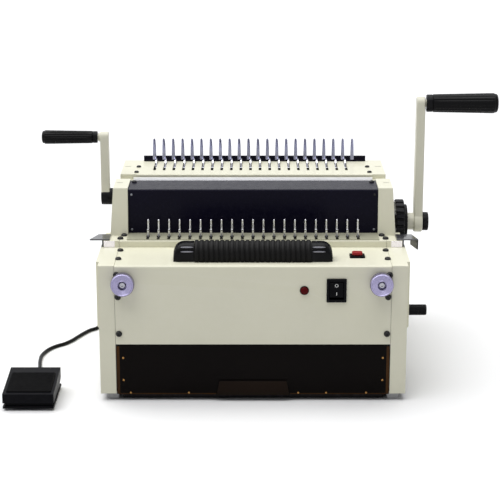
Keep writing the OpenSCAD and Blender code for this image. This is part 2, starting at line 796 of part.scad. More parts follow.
// [x, z] of the front panel's screws, and [x, y] of those on the decks, on the right side.
panel_screws = [[panel_half - 2.6, deck_z - 12], [panel_half - 4.1, deck_z - 42], [panel_half - 4.6, panel_z + 14.7]];
deck_screws = [[panel_half - 2.6, deck_d - 15], [panel_half - 3.6, deck_d - 58]];
station_screws = [[panel_half - 4.6, head_y - 15.5], [panel_half - 2.6, deck_d + 10]];
rear_screws = [[rear_half - 4, body_d - 48], [rear_half - 3, body_d - 84]];
side_screws = [[40, cover_lift + 30], [body_d / 2, cover_lift + 30], [body_d - 40, cover_lift + 30]];

module cover_screws() color("black") in_place() {
    for (side = [-1, 1]) {
        for (p = panel_screws)
            translate([side * p[0], 0, p[1]]) rotate([90, 0, 0]) screw_head();
        for (p = deck_screws)
            translate([side * p[0], p[1], deck_z]) screw_head();
        for (p = station_screws)
            translate([side * p[0], p[1], station_z]) screw_head();
        for (p = rear_screws)
            translate([side * p[0], p[1], rear_z]) screw_head(7, 2.4);
        for (p = side_screws)
            translate([side * (p[0] > joggle_y ? tower_half : half_w), p[0], p[1]])
                rotate([0, side * 90, 0]) screw_head();
        translate([side * (head_half - 6), head_back - 12, head_z]) screw_head(7, 2.4);
        for (z = [station_z + 6, head_z - 7])
            translate([side * (head_half - 5), head_y, z]) rotate([90, 0, 0]) screw_head(4.6, 1.6);
        for (z = [24, station_z - 12])
            translate([side * (panel_half - 8), body_d, z]) rotate([-90, 0, 0]) screw_head(7, 2.4);
    }
}

module pilot_lamp() color("darkred") in_place() translate([lamp_x, 0, lamp_z]) rotate([90, 0, 0]) {
    translate([0, 0, -16]) cylinder(d = lamp_d - 2.2, h = 16);
    cylinder(d = lamp_d, h = 1.6);
    intersection() {
        translate([0, 0, 1.6 + 3 - lamp_d]) sphere(d = 2 * lamp_d);
        translate([0, 0, 1.6]) cylinder(d = lamp_d - 1.6, h = 3);
    }
}

rocker_w = switch_w - 8;
rocker_h = switch_h - 10;
rocker_tilt = 7;

module switch_bezel() color("black") in_place() translate([switch_x, 0, switch_z]) difference() {
    union() {
        block([-switch_w / 2, -2.4, -switch_h / 2], [switch_w / 2, 0, switch_h / 2]);
        block([-switch_w / 2 + 2.2, 0, -switch_h / 2 + 2.2], [switch_w / 2 - 2.2, 18, switch_h / 2 - 2.2]);
    }
    block([-rocker_w / 2 - fit, -3, -rocker_h / 2 - 1], [rocker_w / 2 + fit, 15, rocker_h / 2 + 1]);
}

rocker_pivot_y = 8;

// Rocker with its dished face, at rest with the upper half pressed in.
module rocker() color("black") in_place() translate([switch_x, rocker_pivot_y, switch_z]) {
    rotate([-rocker_tilt, 0, 0]) {
        plate_x(-rocker_w / 2, rocker_w / 2, [
            [-8.6, -rocker_h / 2 + 1], [-10.4, -rocker_h / 2 + 1], [-8.4, 0],
            [-10.4, rocker_h / 2 - 1], [-8.6, rocker_h / 2 - 1], [-1.5, 5], [5.5, 0], [-1.5, -5]
        ]);
    }
}

button_bore = 10;

module button_bezel() color("black") in_place() translate([button_x, button_y, 0]) difference() {
    union() {
        block([-10, -8, deck_z], [10, 8, deck_z + 2.5]);
        bar_z(button_bore + 1.8, deck_z - 14, deck_z + 1, 0, 0);
    }
    bar_z(button_bore - 1, deck_z - 15, deck_z + 3, 0, 0);
    block([-7.3, -5.3, deck_z + 0.7], [7.3, 5.3, deck_z + 3]);
}

module push_button() color("firebrick") in_place() translate([button_x, button_y, 0]) {
    block([-7, -5, deck_z + 3.6], [7, 5, deck_z + 7]);
    bar_z(button_bore - 1.6, deck_z - 10, deck_z + 3.8, 0, 0);
}

module margin_knob() color("black") in_place() {
    x0 = half_w + swell + 0.5;
    bar_x(8, half_w - 16, x0 + 1, margin_y, margin_z);
    bar_x(margin_d, x0, x0 + margin_l, margin_y, margin_z);
}

// ---------------------------------------------------------------- carry handle

tongue_w = 14;
tongue_top = 6.5;
handle_lift = 12;                // how far the grip can rise in the end caps
cap_drop = 2.5;                  // how much lower the end caps are than the grip
grip_out = 3.5;                  // how far the grip stands out in front of and behind the caps

// Side view of an end cap: rounded top corners on the outside.
module handle_caps() color("black") in_place() {
    for (side = [-1, 1]) on_side(side) difference() {
        intersection() {
            translate([0, handle_y, deck_z]) block([handle_l / 2 - handle_cap, 0, 0],
                                                   [handle_l / 2, handle_w, handle_h - cap_drop]);
            translate([0, handle_y - 1, deck_z]) rotate([-90, 0, 0]) linear_extrude(handle_w + 2)
                union() {
                    translate([handle_l / 2 - handle_cap - 1, -10]) square([handle_cap + 1, 10]);
                    translate([handle_l / 2 - handle_cap - 1, -handle_h]) square([handle_cap - 13, handle_h]);
                    translate([handle_l / 2 - 14, -(handle_h - cap_drop - 14)]) circle(r = 14);
                }
        }
        translate([0, handle_y, deck_z])
            block([handle_l / 2 - handle_cap - 1, (handle_w - tongue_w) / 2 - fit, 2],
                  [handle_l / 2 - handle_cap + 16, (handle_w + tongue_w) / 2 + fit, tongue_top + handle_lift + fit]);
    }
}

module handle_grip() color("black") in_place() translate([0, handle_y, deck_z]) {
    grip_half = handle_l / 2 - handle_cap - 0.6;
    grip_r = handle_w / 2 + grip_out;
    intersection() {
        block([-grip_half, -grip_out, 0.5], [grip_half, handle_w + grip_out, handle_h]);
        union() {
            bar_x(2 * grip_r, -grip_half, grip_half, handle_w / 2, handle_h - grip_r);
            block([-grip_half, -grip_out, 0], [grip_half, handle_w + grip_out, handle_h - grip_r]);
        }
    }
    block([-handle_l / 2 + handle_cap - 14, (handle_w - tongue_w) / 2, 3],
          [handle_l / 2 - handle_cap + 14, (handle_w + tongue_w) / 2, tongue_top]);
}

// ---------------------------------------------------------------- paper wings

wing_y = deck_d + 1.5;
wing_d = head_y - tower_lean - fit - wing_y;

// Formed bracket that holds up the paper beside the front comb station.
module paper_wing(side, reach, taper, lip) {
    on_side(side) {
        translate([0, 0, station_z]) linear_extrude(sheet_t) polygon([
            [half_w - 8, wing_y], [reach, wing_y], [reach - taper, wing_y + wing_d], [half_w - 8, wing_y + wing_d]
        ]);
        block([half_w + fit, wing_y, station_z - 9], [half_w + fit + sheet_t, wing_y + wing_d, station_z]);
        if (lip > 0) translate([0, 0, station_z - lip]) linear_extrude(lip) polygon([
            [reach - sheet_t, wing_y], [reach, wing_y],
            [reach - taper, wing_y + wing_d], [reach - taper - sheet_t, wing_y + wing_d]
        ]);
    }
}

module paper_wing_left() color("black") in_place() paper_wing(-1, half_w + 19, 10, 0);

module paper_wing_right() color("black") in_place() paper_wing(1, half_w + 22, 7, 13);

// ---------------------------------------------------------------- cranks

module size_dial() color("black") in_place() difference() {
    union() {
        bar_x(dial_d, dial_x, dial_x + dial_t - 4, right_y, right_z);
        bar_x(dial_d - 14, dial_x + dial_t - 4, dial_x + dial_t, right_y, right_z);
    }
    bar_x(18 + 2 * running, dial_x - 1, dial_x + dial_t + 1, right_y, right_z);
    for (a = [0 : 18 : 359])
        translate([0, right_y, right_z]) rotate([a, 0, 0])
            bar_x(6, dial_x - 1, dial_x + dial_t - 3, dial_d / 2 + 1, 0);
}

module crank_bushes() color("darkgoldenrod") in_place() {
    difference() {
        union() {
            bar_x(18, tower_half - sheet_t - 1, right_hub_x - fit, right_y, right_z);
            bar_x(20, tower_half - sheet_t, dial_x - 0.6, right_y, right_z);
        }
        bar_x(right_shaft_d + 2 * running, tower_half - 9, right_hub_x + 1, right_y, right_z);
    }
    difference() {
        bar_x(20, frame_x, frame_out + 0.6, right_y, right_z);
        bar_x(right_shaft_d + 2 * running, frame_x - 5, frame_out + 2, right_y, right_z);
    }
    difference() {
        bar_x(20, -left_hub_x + fit, -tower_half + sheet_t, left_y, left_z);
        bar_x(left_shaft_d + 2 * running, -left_hub_x - 1, -tower_half + 9, left_y, left_z);
    }
    difference() {
        bar_x(20, -frame_out - 0.6, -frame_x, left_y, left_z);
        bar_x(left_shaft_d + 2 * running, -frame_out - 2, -frame_x + 5, left_y, left_z);
    }
}

// Shaft, its pinion behind the frame and the hub outside.
module right_crank_shaft() color("silver") in_place() {
    bar_x(right_shaft_d, frame_x + fit, right_arm_x + arm_t, right_y, right_z);
    gear_x_axis(front_pinion_teeth, front_module, 4, gear_x, gear_w, right_y, right_z, 270);
    bar_x(24, right_hub_x, right_arm_x, right_y, right_z);
}

// Crank arm with rounded ends, drawn with its axis at y = z = 0, and its grip's spindle.
module crank_arm(x0, x1, length, bore, spindle_d, spindle_end) {
    difference() {
        union() {
            bar_x(30, x0, x1, 0, 0);
            plate_x(x0, x1, [[-11, 0], [11, 0], [9, length], [-9, length]]);
            bar_x(18, x0, x1, 0, length);
        }
        bar_x(bore, x0 - 1, x1 + 1, 0, 0);
    }
    bar_x(spindle_d, x1, spindle_end, 0, length);
}

module right_arm() color("ivory") in_place() translate([0, right_y, right_z])
    crank_arm(right_arm_x, right_arm_x + arm_t, right_arm, right_shaft_d, 10,
              right_arm_x + arm_t + right_grip_l - 6);

module right_cap() color("black") in_place() {
    bar_x(26, right_arm_x + arm_t, right_arm_x + arm_t + 8.5, right_y, right_z);
}

// Grip around a spindle along +X from x = 0: a collar, a waist and a swelling to the closed end.
module grip_form(length, d_in, d_out, bore) {
    difference() {
        rotate([0, 90, 0]) rotate_extrude() polygon([
            [0, 0], [d_in / 2, 0], [d_in / 2, length * 0.05], [d_in / 2 - 1.2, length * 0.09],
            [d_out / 2 - 1, length * 0.75], [d_out / 2, length * 0.9],
            [d_out / 2 - 0.8, length * 0.96], [d_out / 2 - 3, length], [0, length]
        ]);
        bar_x(bore + 2 * running, -1, length - 5, 0, 0);
    }
}

module right_grip() color("black") in_place()
    translate([right_arm_x + arm_t + right_gap, right_y, right_z + right_arm])
        grip_form(right_grip_l, right_grip_d - 3, right_grip_d, 10);

module left_crank_shaft() color("silver") in_place() {
    bar_x(left_shaft_d, -left_arm_x - 6, -frame_x - fit, left_y, left_z);
    gear_x_axis(left_pinion_teeth, left_module, 4, -gear_x - gear_w, gear_w, left_y, left_z, 90);
    difference() {
        bar_x(24, -left_arm_x - 6, -left_hub_x, left_y, left_z);
        block([-left_arm_x - 12, left_y - 9, left_z], [-left_arm_x + 6, left_y + 9, left_z + 14]);
    }
}

module left_arm() color("ivory") in_place() {
    x0 = -left_arm_x - 6;
    x1 = -left_arm_x + 6;
    difference() {
        union() {
            plate_x(x0, x1, [[left_y - 9, left_z], [left_y + 9, left_z],
                             [left_y + 8, left_z + left_arm], [left_y - 8, left_z + left_arm]]);
            bar_x(16, x0, x1, left_y, left_z + left_arm);
        }
        bar_x(left_shaft_d, x0 - 1, x1 + 1, left_y, left_z);
    }
    bar_x(13, x0 - 3, x0, left_y, left_z + left_arm);
    bar_x(8, x0 - left_grip_l + 2, x0 - 3, left_y, left_z + left_arm);
}

module left_grip() color("black") in_place()
    translate([-left_arm_x - 10, left_y, left_z + left_arm]) mirror([1, 0, 0])
        grip_form(left_grip_l, left_grip_d - 2, left_grip_d, 8);

// ---------------------------------------------------------------- electrics

module power_inlet() color("black") in_place() translate([inlet_x, body_d, inlet_z]) difference() {
    union() {
        block([-inlet_w / 2 - 9, 0, -inlet_h / 2 - 2], [inlet_w / 2 + 9, 2, inlet_h / 2 + 2]);
        block([-inlet_w / 2 + 0.3, -24, -inlet_h / 2 + 0.3], [inlet_w / 2 - 0.3, 0, inlet_h / 2 - 0.3]);
    }
    block([-inlet_w / 2 + 3, -16, -inlet_h / 2 + 3], [inlet_w / 2 - 3, 3, inlet_h / 2 - 3]);
}

// Circuit board on its pillars, with the relay, the capacitor and the terminal block.
module control_board() color("darkgreen") in_place() {
    board = [gland_x, body_d - 94, base_top + 8];
    size = [120, 80, 1.6];
    top = base_top + 8 + size[2];
    block(board, board + size);
    for (x = [6, size[0] - 6], y = [6, size[1] - 6])
        bar_z(7, base_top, base_top + 8, board[0] + x, board[1] + y);
    block([board[0] + 10, board[1] + 14, top], [board[0] + 38, board[1] + 34, top + 18]);
    block([board[0] + 50, board[1] + 12, top], [board[0] + 100, board[1] + 50, top + 34]);
    block([board[0] + 10, board[1] + 54, top], [board[0] + 66, board[1] + 66, top + 10]);
    bar_z(22, top, top + 30, board[0] + 104, board[1] + 66);
}

// ---------------------------------------------------------------- pedal

pedal_x0 = pedal_x - pedal_w / 2;
pedal_x1 = pedal_x + pedal_w / 2;
pedal_y1 = pedal_y0 + pedal_d;
pedal_in = pedal_skin + 0.8;
pedal_gland_x = pedal_x - 4.5;
pedal_gland_z = 9;
pedal_gland_l = 8;

// Lower tray with ears, the hinge pin, the switch and the cord's gland.
module pedal_base() color("black") in_place() {
    difference() {
        union() {
            block([pedal_x0, pedal_y0, pedal_foot_h], [pedal_x1, pedal_y1, pedal_foot_h + 3]);
            block([pedal_x0 + pedal_in, pedal_y0 + pedal_in, pedal_foot_h + 3],
                  [pedal_x1 - pedal_in, pedal_y1, pedal_foot_h + 11]);
        }
        block([pedal_x0 + pedal_in + 2, pedal_y0 + pedal_in + 2, pedal_foot_h + 3],
              [pedal_x1 - pedal_in - 2, pedal_y1 - 2, pedal_foot_h + 12]);
        bar_y(cord_d + 0.1, pedal_y1 - 3, pedal_y1 + 1, pedal_gland_x, pedal_gland_z);
    }
    for (x = [pedal_x0 + pedal_in, pedal_x1 - pedal_in - 4])
        block([x, pedal_pin_y - 5, pedal_foot_h + 3], [x + 4, pedal_pin_y + 5, pedal_pin_z + 5]);
    bar_x(2 * pedal_pin_r, pedal_x0, pedal_x1, pedal_pin_y, pedal_pin_z);
    block([pedal_x - 10, pedal_y0 + 28, pedal_foot_h + 3], [pedal_x + 10, pedal_y0 + 48, pedal_foot_h + 11]);
    bar_y(9, pedal_y1, pedal_y1 + pedal_gland_l - 4, pedal_gland_x, pedal_gland_z);
}

// [y, z] outline of the treadle's top between its ends, moved down by `down`.
function treadle_top(y0, y1, down) = let (
    slope = (pedal_rear_h - pedal_front_h) / pedal_d,
    z0 = pedal_front_h - down + slope * (y0 - pedal_y0),
    z1 = pedal_front_h - down + slope * (y1 - pedal_y0)) [[y0, z0], [y1, z1]];

pad_y0 = pedal_y0 + 6;
pad_y1 = pedal_y0 + pedal_d - 24;
pad_t = 2;

// Hinged cover that the foot presses.
module pedal_treadle() color("black") in_place() difference() {
    skirt_z = pedal_foot_h + 3 + 4.6;
    plate_x(pedal_x0, pedal_x1, concat(
        [[pedal_y0, skirt_z]], treadle_top(pedal_y0, pedal_y1 - 4, 0), [[pedal_y1 - 4, skirt_z + 6], [pedal_y1 - 24, skirt_z]]
    ));
    plate_x(pedal_x0 + pedal_skin, pedal_x1 - pedal_skin, concat(
        [[pedal_y0 + pedal_skin, 0]], treadle_top(pedal_y0 + pedal_skin, pedal_y1 + 1, treadle_t), [[pedal_y1 + 1, 0]]
    ));
    bar_x(2 * pedal_pin_r + 2 * running, pedal_x0 - 1, pedal_x1 + 1, pedal_pin_y, pedal_pin_z);
}

module pedal_pad() color("dimgray") in_place() {
    top = treadle_top(pad_y0, pad_y1, -pad_t);
    seat = treadle_top(pad_y0, pad_y1, 0);
    plate_x(pedal_x0 + 4, pedal_x1 - 4, [seat[0], seat[1], top[1], top[0]]);
}

// ---------------------------------------------------------------- cord

gland_l = 26;

module cord_gland() color("black") in_place() difference() {
    union() {
        bar_y(11.6, cover_y - 6, body_d, gland_x, gland_z);
        bar_y(16, body_d, body_d + 5, gland_x, gland_z);
        translate([gland_x, body_d + 5, gland_z]) rotate([-90, 0, 0])
            cylinder(d1 = 12, d2 = cord_d + 2.6, h = gland_l - 5);
    }
    bar_y(cord_d + 0.1, cover_y - 7, body_d + gland_l + 1, gland_x, gland_z);
}

// The cord's heights are given above its height when it lies on the floor.
function at_height(h) = h + cord_d / 2;

// Steps from the gland's foot, over the floor, to the coil.
lead_steps = [
    [0, 26, 37.4], [0, 37, 36.8], [0, 47, 32.4], [1, 55, 23.4], [3, 61, 12.4], [7, 67, 3.4],
    [13, 75, 0.2], [22, 85, 0], [35, 95, 0], [50, 101, 0], [62, 103.6, 0], [74, 104.6, 0]
];

// Steps behind the machine, from its back at the centre line: X, then Y as far as the pedal's back.
rear_steps = [
    [-76, 385.4, 2.8], [-88, 385.6, 0.8], [-102, 385.4, 0], [-122, 383.6, 0],
    [-145, 380, 0], [-172, 371, 0]
];

// Steps beside the machine, from its side, on to the pedal's gland.
side_steps = [
    [5, 355, 0], [-13, 330, 0], [-22, 302, 0], [-27, 275, 0], [-33, 250, 0], [-42, 240, 0],
    [-50, 225, 0], [-57, 209, 0], [-64, 192, 0], [-73, 177, 0], [-84, 166, 0],
    [-92, 154, 0], [-97.5, 139, 0], [-100.5, 121, 0], [-99.5, 97, 0], [-97, 76, 0], [-96, 54, 0],
    [-96, 38, 0.2], [-96, 26, 2], [-96, 16, 5.2], [-96, 9, 6.4], [-96, 4, 6.4]
];

run_scale = (coil_y - pedal_y1) / 420;
lead_points = [for (p = lead_steps) [gland_x + p[0], body_d + p[1], at_height(p[2])]];
run_points = concat(
    [for (p = rear_steps) [p[0], pedal_y1 + p[1] * run_scale, at_height(p[2])]],
    [for (p = side_steps) [p[0] - half_w, pedal_y1 + p[1] * run_scale, at_height(p[2])]]
);

function unit(v) = v / norm(v);

// Catmull-Rom point between p[i] and p[i + 1].
function curve_point(p, i, t) = let (
    a = p[max(i - 1, 0)], b = p[i], c = p[min(i + 1, len(p) - 1)], d = p[min(i + 2, len(p) - 1)])
    0.5 * (2 * b + (c - a) * t + (2 * a - 5 * b + 4 * c - d) * t * t + (3 * b - a - 3 * c + d) * t * t * t);

function smooth_path(p, n) = concat(
    [for (i = [0 : len(p) - 2], k = [0 : n - 1]) curve_point(p, i, k / n)], [p[len(p) - 1]]
);

function tangent(p, i) = unit(p[min(i + 1, len(p) - 1)] - p[max(i - 1, 0)]);

// A tube of `sides` sides swept along the path, as one closed polyhedron.
module tube(path, d, sides = 8) {
    n = len(path);
    rings = [
        for (i = [0 : n - 1])
            let (t = tangent(path, i), u = unit(cross(t, abs(t[2]) > 0.9 ? [0, 1, 0] : [0, 0, 1])), v = cross(t, u))
                for (k = [0 : sides - 1])
                    let (a = 360 * (k + 0.5) / sides)
                        path[i] + d / 2 * (cos(a) * u + sin(a) * v)
    ];
    faces = concat(
        [[for (k = [0 : sides - 1]) k]],
        [for (i = [0 : n - 2], k = [0 : sides - 1]) let (j = (k + 1) % sides)
            [i * sides + k, (i + 1) * sides + k, (i + 1) * sides + j, i * sides + j]],
        [[for (k = [sides - 1 : -1 : 0]) (n - 1) * sides + k]]
    );
    polyhedron(rings, faces);
}

module cord_tube() color("black") in_place() {
    tube(smooth_path(lead_points, 2), cord_d);
    tube(smooth_path(run_points, 2), cord_d);
}

// Outer shape of the spare length, wound in two layers.
module cord_coil() color("black") in_place() translate([coil_x, coil_y, 0]) rotate_extrude()
    translate([coil_d / 2 - coil_turns * cord_d / 2, 0]) square([coil_turns * cord_d, 2 * cord_d]);

base_plate();
feet();
side_frame_left();
side_frame_right();
side_cover_left();
side_cover_right();
front_cover();
comb_plate();
end_housing_left();
end_housing_right();
head_cover();
throat_deck();
rear_deck();
rear_cover();
page_plate();
rear_fingers();
rear_hooks();
front_pins();
front_hooks();
front_idler();
die_block();
pin_guide();
punch_ram();
punch_pins();
cam_shaft();
drive_gear();
gearmotor();
motor_gear();
chip_drawer();
drawer_screws();
knob_left();
knob_right();
cover_screws();
pilot_lamp();
switch_bezel();
rocker();
button_bezel();
push_button();
handle_caps();
handle_grip();
margin_knob();
paper_wing_left();
paper_wing_right();
size_dial();
crank_bushes();
right_crank_shaft();
right_arm();
right_cap();
right_grip();
left_crank_shaft();
left_arm();
left_grip();
power_inlet();
control_board();
cord_gland();
pedal_base();
pedal_treadle();
pedal_pad();
cord_tube();
cord_coil();
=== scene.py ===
"""Visual model of an electric comb binding machine with its foot pedal.

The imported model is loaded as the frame. Each sub-assembly below builds its finished pieces in
millimetres, in the machine's own frame (x = 0 on the centre line, y = 0 on the front panel,
z = 0 on the floor), and hands them over in metres in the model's frame.
"""

from __future__ import annotations

import json
import logging
import math
from collections.abc import Callable, Iterable, Sequence
from dataclasses import dataclass, field
from enum import Enum

import bmesh
import bpy
import numpy as np
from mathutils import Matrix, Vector

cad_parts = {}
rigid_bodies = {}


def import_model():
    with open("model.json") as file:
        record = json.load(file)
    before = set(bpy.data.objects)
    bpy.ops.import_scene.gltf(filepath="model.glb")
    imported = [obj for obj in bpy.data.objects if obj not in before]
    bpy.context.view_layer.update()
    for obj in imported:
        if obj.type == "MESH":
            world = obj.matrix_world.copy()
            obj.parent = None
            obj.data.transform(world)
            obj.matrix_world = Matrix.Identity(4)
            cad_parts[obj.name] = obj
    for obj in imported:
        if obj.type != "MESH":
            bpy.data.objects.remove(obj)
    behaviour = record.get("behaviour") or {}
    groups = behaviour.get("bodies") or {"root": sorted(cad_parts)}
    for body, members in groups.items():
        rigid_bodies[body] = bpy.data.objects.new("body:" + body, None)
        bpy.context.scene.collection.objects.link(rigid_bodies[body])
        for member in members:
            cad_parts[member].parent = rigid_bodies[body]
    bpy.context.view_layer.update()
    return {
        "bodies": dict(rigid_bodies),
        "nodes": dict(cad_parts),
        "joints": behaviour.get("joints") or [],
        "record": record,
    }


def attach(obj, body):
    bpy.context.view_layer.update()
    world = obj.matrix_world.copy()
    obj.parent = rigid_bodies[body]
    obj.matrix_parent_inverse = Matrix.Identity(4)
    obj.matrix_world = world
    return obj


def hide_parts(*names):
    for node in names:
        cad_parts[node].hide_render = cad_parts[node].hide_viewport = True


LOG = logging.getLogger("comb_binder")

MILLIMETRE = 0.001
FRAME_ORIGIN = np.array((6.05, 182.0, 0.0))  # the model's origin in the machine's frame
SIDES = (-1, 1)  # left and right

# Faces and levels in mm that more than one sub-assembly uses.
HALF_W = 202.0  # a side cover's outer face
TOWER_HALF = 195.0  # an end housing's outer face
BODY_D = 400.0  # the rear cover's face
DECK_Z = 186.0  # the front deck
STATION_Z = 195.0  # the raised deck of the front station
PLATE_Z = 196.2  # the comb plate's top
HEAD_Y = 130.0  # the black cover's front
HEAD_Z = 257.0  # its top
REAR_Z = 239.0  # the rear deck
COMB_PITCH = 14.29
COMB_TEETH = 21

# Limits, in mm and degrees, for finishing a copy of a CAD node.
MERGE_GAP = 0.002  # points nearer than this are one
FOLD_GAP = 0.02  # an edge this near a fold's line belongs to it
FLAT_ANGLE = 1.0  # faces that meet at less are one
EDGE_ANGLE = 40.1  # an outer edge sharper than this is rounded

Point = tuple[float, float, float]
Pair = tuple[float, float]
Outline = np.ndarray | Sequence[Pair]
Shape = Callable[[np.ndarray, np.ndarray, np.ndarray], np.ndarray]


def to_frame(points: np.ndarray | Point) -> np.ndarray:
    """Moves points from the machine's frame, in mm, to the model's frame, in metres."""
    return (np.asarray(points, float) - FRAME_ORIGIN) * MILLIMETRE


def comb_x(tooth: int, shift: float = 0.0) -> float:
    """X of a comb tooth, counted from the left, with a piece's shift beside it, in mm."""
    return COMB_PITCH * (tooth - (COMB_TEETH - 1) / 2) + shift


class Axis(Enum):
    """Direction that a turned or extruded form runs along."""

    X = "x"
    Y = "y"
    Z = "z"

    def stack(self, a: np.ndarray, b: np.ndarray, t: np.ndarray | float) -> np.ndarray:
        """Joins coordinates into points.

        Args:
            a: first coordinate across the axis.
            b: second coordinate across the axis.
            t: coordinate along the axis.

        Returns:
            Array of points, with x, y and z last.
        """
        t = np.broadcast_to(t, np.shape(a))
        order = {Axis.X: (t, a, b), Axis.Y: (a, t, b), Axis.Z: (a, b, t)}[self]
        return np.stack(order, axis=-1)


class Ends(Enum):
    """What a lofted form has at its first and last ring."""

    CAPPED = "a face on each"
    JOINED = "the last ring leads back to the first"


class Facing(Enum):
    """Direction that a screw's head faces on the machine's right-hand side."""

    FRONT = (0.0, -1.0, 0.0)
    BACK = (0.0, 1.0, 0.0)
    UP = (0.0, 0.0, 1.0)
    OUT = (1.0, 0.0, 0.0)


# ---------------------------------------------------------------- meshes


class Form:
    """A mesh being built, in mm in the machine's frame."""

    def __init__(self) -> None:
        """Starts with no points."""
        self.points: list[np.ndarray] = []
        self.faces: list[list[int]] = []
        self.count = 0

    def loft(self, rings: np.ndarray, ends: Ends = Ends.CAPPED) -> Form:
        """Joins each closed ring to the next with one four-sided face to a point.

        Args:
            rings: array of shape (rings, points, 3).
            ends: what becomes of the first and the last ring.

        Returns:
            This form.
        """
        n, m = rings.shape[:2]
        rows = n if ends is Ends.JOINED else n - 1
        ring, point = np.divmod(np.arange(rows * m), m)
        here, there, after = ring * m, (ring + 1) % n * m, (point + 1) % m
        quads = np.stack([here + point, here + after, there + after, there + point], -1)
        self.faces += (quads + self.count).tolist()
        if ends is Ends.CAPPED:
            first = np.arange(m) + self.count
            self.faces += [first[::-1].tolist(), (first + (n - 1) * m).tolist()]
        self.points.append(rings.reshape(-1, 3))
        self.count += n * m
        return self

    def lathe(
        self,
        axis: Axis,
        centre: Point,
        profile: Sequence[Pair],
        segments: int = 48,
        shape: Shape | None = None,
        ends: Ends = Ends.CAPPED,
    ) -> Form:
        """Turns a profile round an axis: each of its pairs becomes a circle of points.

        Args:
            axis: the direction of the axis.
            centre: a point on it.
            profile: radius and place along the axis of each circle.
            segments: points to a circle.
            shape: changes the radii, from (radii, places, angles).
            ends: what becomes of the first and the last circle.

        Returns:
            This form.
        """
        angle = np.linspace(0, 2 * math.pi, segments, endpoint=False)
        radius, along = np.array(profile, float).T[..., None]
        if shape is not None:
            radius = shape(radius, along, angle)
        radius = np.broadcast_to(radius, (len(profile), segments))
        rings = axis.stack(radius * np.cos(angle), radius * np.sin(angle), along)
        return self.loft(rings + np.array(centre), ends)

    def layers(
        self,
        axis: Axis,
        outlines: Iterable[tuple[Outline, np.ndarray | float]],
        ends: Ends = Ends.CAPPED,
    ) -> Form:
        """Lofts outlines that stand one after another along an axis.

        Args:
            axis: the direction that they stand along.
            outlines: cross-section points of each, and their place along the axis.
            ends: what becomes of the first and the last outline.

        Returns:
            This form.
        """
        rings = [axis.stack(*np.array(outline, float).T, along) for outline, along in outlines]
        return self.loft(np.array(rings), ends)

    def prism(self, axis: Axis, outline: Outline, lo: float, hi: float) -> Form:
        """Extrudes an outline of cross-section points from lo to hi."""
        return self.layers(axis, [(outline, lo), (outline, hi)])

    def block(self, lo: Point, hi: Point) -> Form:
        """Adds a block between two corners."""
        return self.prism(Axis.Z, rectangle(*lo[:2], *hi[:2]), lo[2], hi[2])

    def block_pair(self, lo: Point, hi: Point) -> Form:
        """Adds a block on the right, between two corners, and its mirror image on the left."""
        self.block((-hi[0], *lo[1:]), (-lo[0], *hi[1:]))
        return self.block(lo, hi)

    def tube(self, path: np.ndarray, radius: float | np.ndarray, sides: int = 16) -> Form:
        """Sweeps a circle along a path: its plane turns with the path and never twists.

        Args:
            path: points of the path.
            radius: the circle's radius, one for all or one for each point.
            sides: points to a circle.

        Returns:
            This form.
        """
        radii = np.broadcast_to(radius, len(path))
        tangent = np.gradient(path, axis=0)
        tangent /= np.linalg.norm(tangent, axis=1)[:, None]
        angle = np.linspace(0, 2 * math.pi, sides, endpoint=False)[:, None]
        upright = abs(tangent[0][2]) > 0.9
        side = np.cross(tangent[0], (0.0, 1.0, 0.0) if upright else (0.0, 0.0, 1.0))
        rings = []
        for place, along, r in zip(path, tangent, radii):
            side = side - along * (side @ along)
            side /= np.linalg.norm(side)
            up = np.cross(along, side)
            rings.append(place + r * (np.cos(angle) * side + np.sin(angle) * up))
        return self.loft(np.array(rings))

    def screw(
        self, place: Point, facing: Facing, head: Pair, turn: float, side: int = 1
    ) -> Form:
        """Adds a button-head screw: circles shrink along a dome, then a hexagon dips into it.

        Args:
            place: middle of its seat.
            facing: the direction that its head faces.
            head: diameter and height of the head.
            turn: angle of the socket in radians.
            side: -1 mirrors the direction for the left-hand side.

        Returns:
            This form.
        """
        angle = np.linspace(0, 2 * math.pi, 30, endpoint=False)
        radius, height = head[0] / 2, head[1]
        sixth = math.pi / 3
        flat = 0.44 * radius * math.cos(sixth / 2)
        hexagon = flat / np.cos((angle - turn) % sixth - sixth / 2)
        circle = np.full_like(angle, radius)
        rings = [(circle, 0.0), (circle, 0.22 * height)]
        rings += [
            (circle * math.cos(1.05 * t), height * (0.22 + 0.78 * math.sin(1.62 * t)))
            for t in (0.35, 0.6, 0.8, 0.93)
        ]
        rings += [(hexagon, height), (0.96 * hexagon, height - 0.2),
                  (0.9 * hexagon, 0.42 * height), (0.1 * hexagon, 0.3 * height)]
        along = np.array(facing.value) * (side, 1.0, 1.0)
        across = np.array((1.0, 0.0, 0.0) if facing is Facing.UP else (0.0, 0.0, 1.0))
        up = np.cross(along, across)
        return self.loft(np.array([
            np.array(place) + along * h + np.outer(r * np.cos(angle), across)
            + np.outer(r * np.sin(angle), up)
            for r, h in rings
        ]))

    def move(self, change: Callable[[np.ndarray], np.ndarray]) -> Form:
        """Moves every point built so far."""
        self.points = [change(p) for p in self.points]
        return self

    def mesh(self, name: str) -> bpy.types.Mesh:
        """Makes the mesh, in metres in the model's frame, with its faces outwards.

        Args:
            name: the mesh's name.

        Returns:
            The Blender mesh.
        """
        mesh = bpy.data.meshes.new(name)
        mesh.from_pydata(to_frame(np.concatenate(self.points)).tolist(), [], self.faces)
        bm = bmesh.new()
        bm.from_mesh(mesh)
        bmesh.ops.recalc_face_normals(bm, faces=bm.faces)
        bm.to_mesh(mesh)
        bm.free()
        return mesh


def rectangle(x0: float, y0: float, x1: float, y1: float) -> list[Pair]:
    """Corners of a rectangle."""
    return [(x0, y0), (x1, y0), (x1, y1), (x0, y1)]


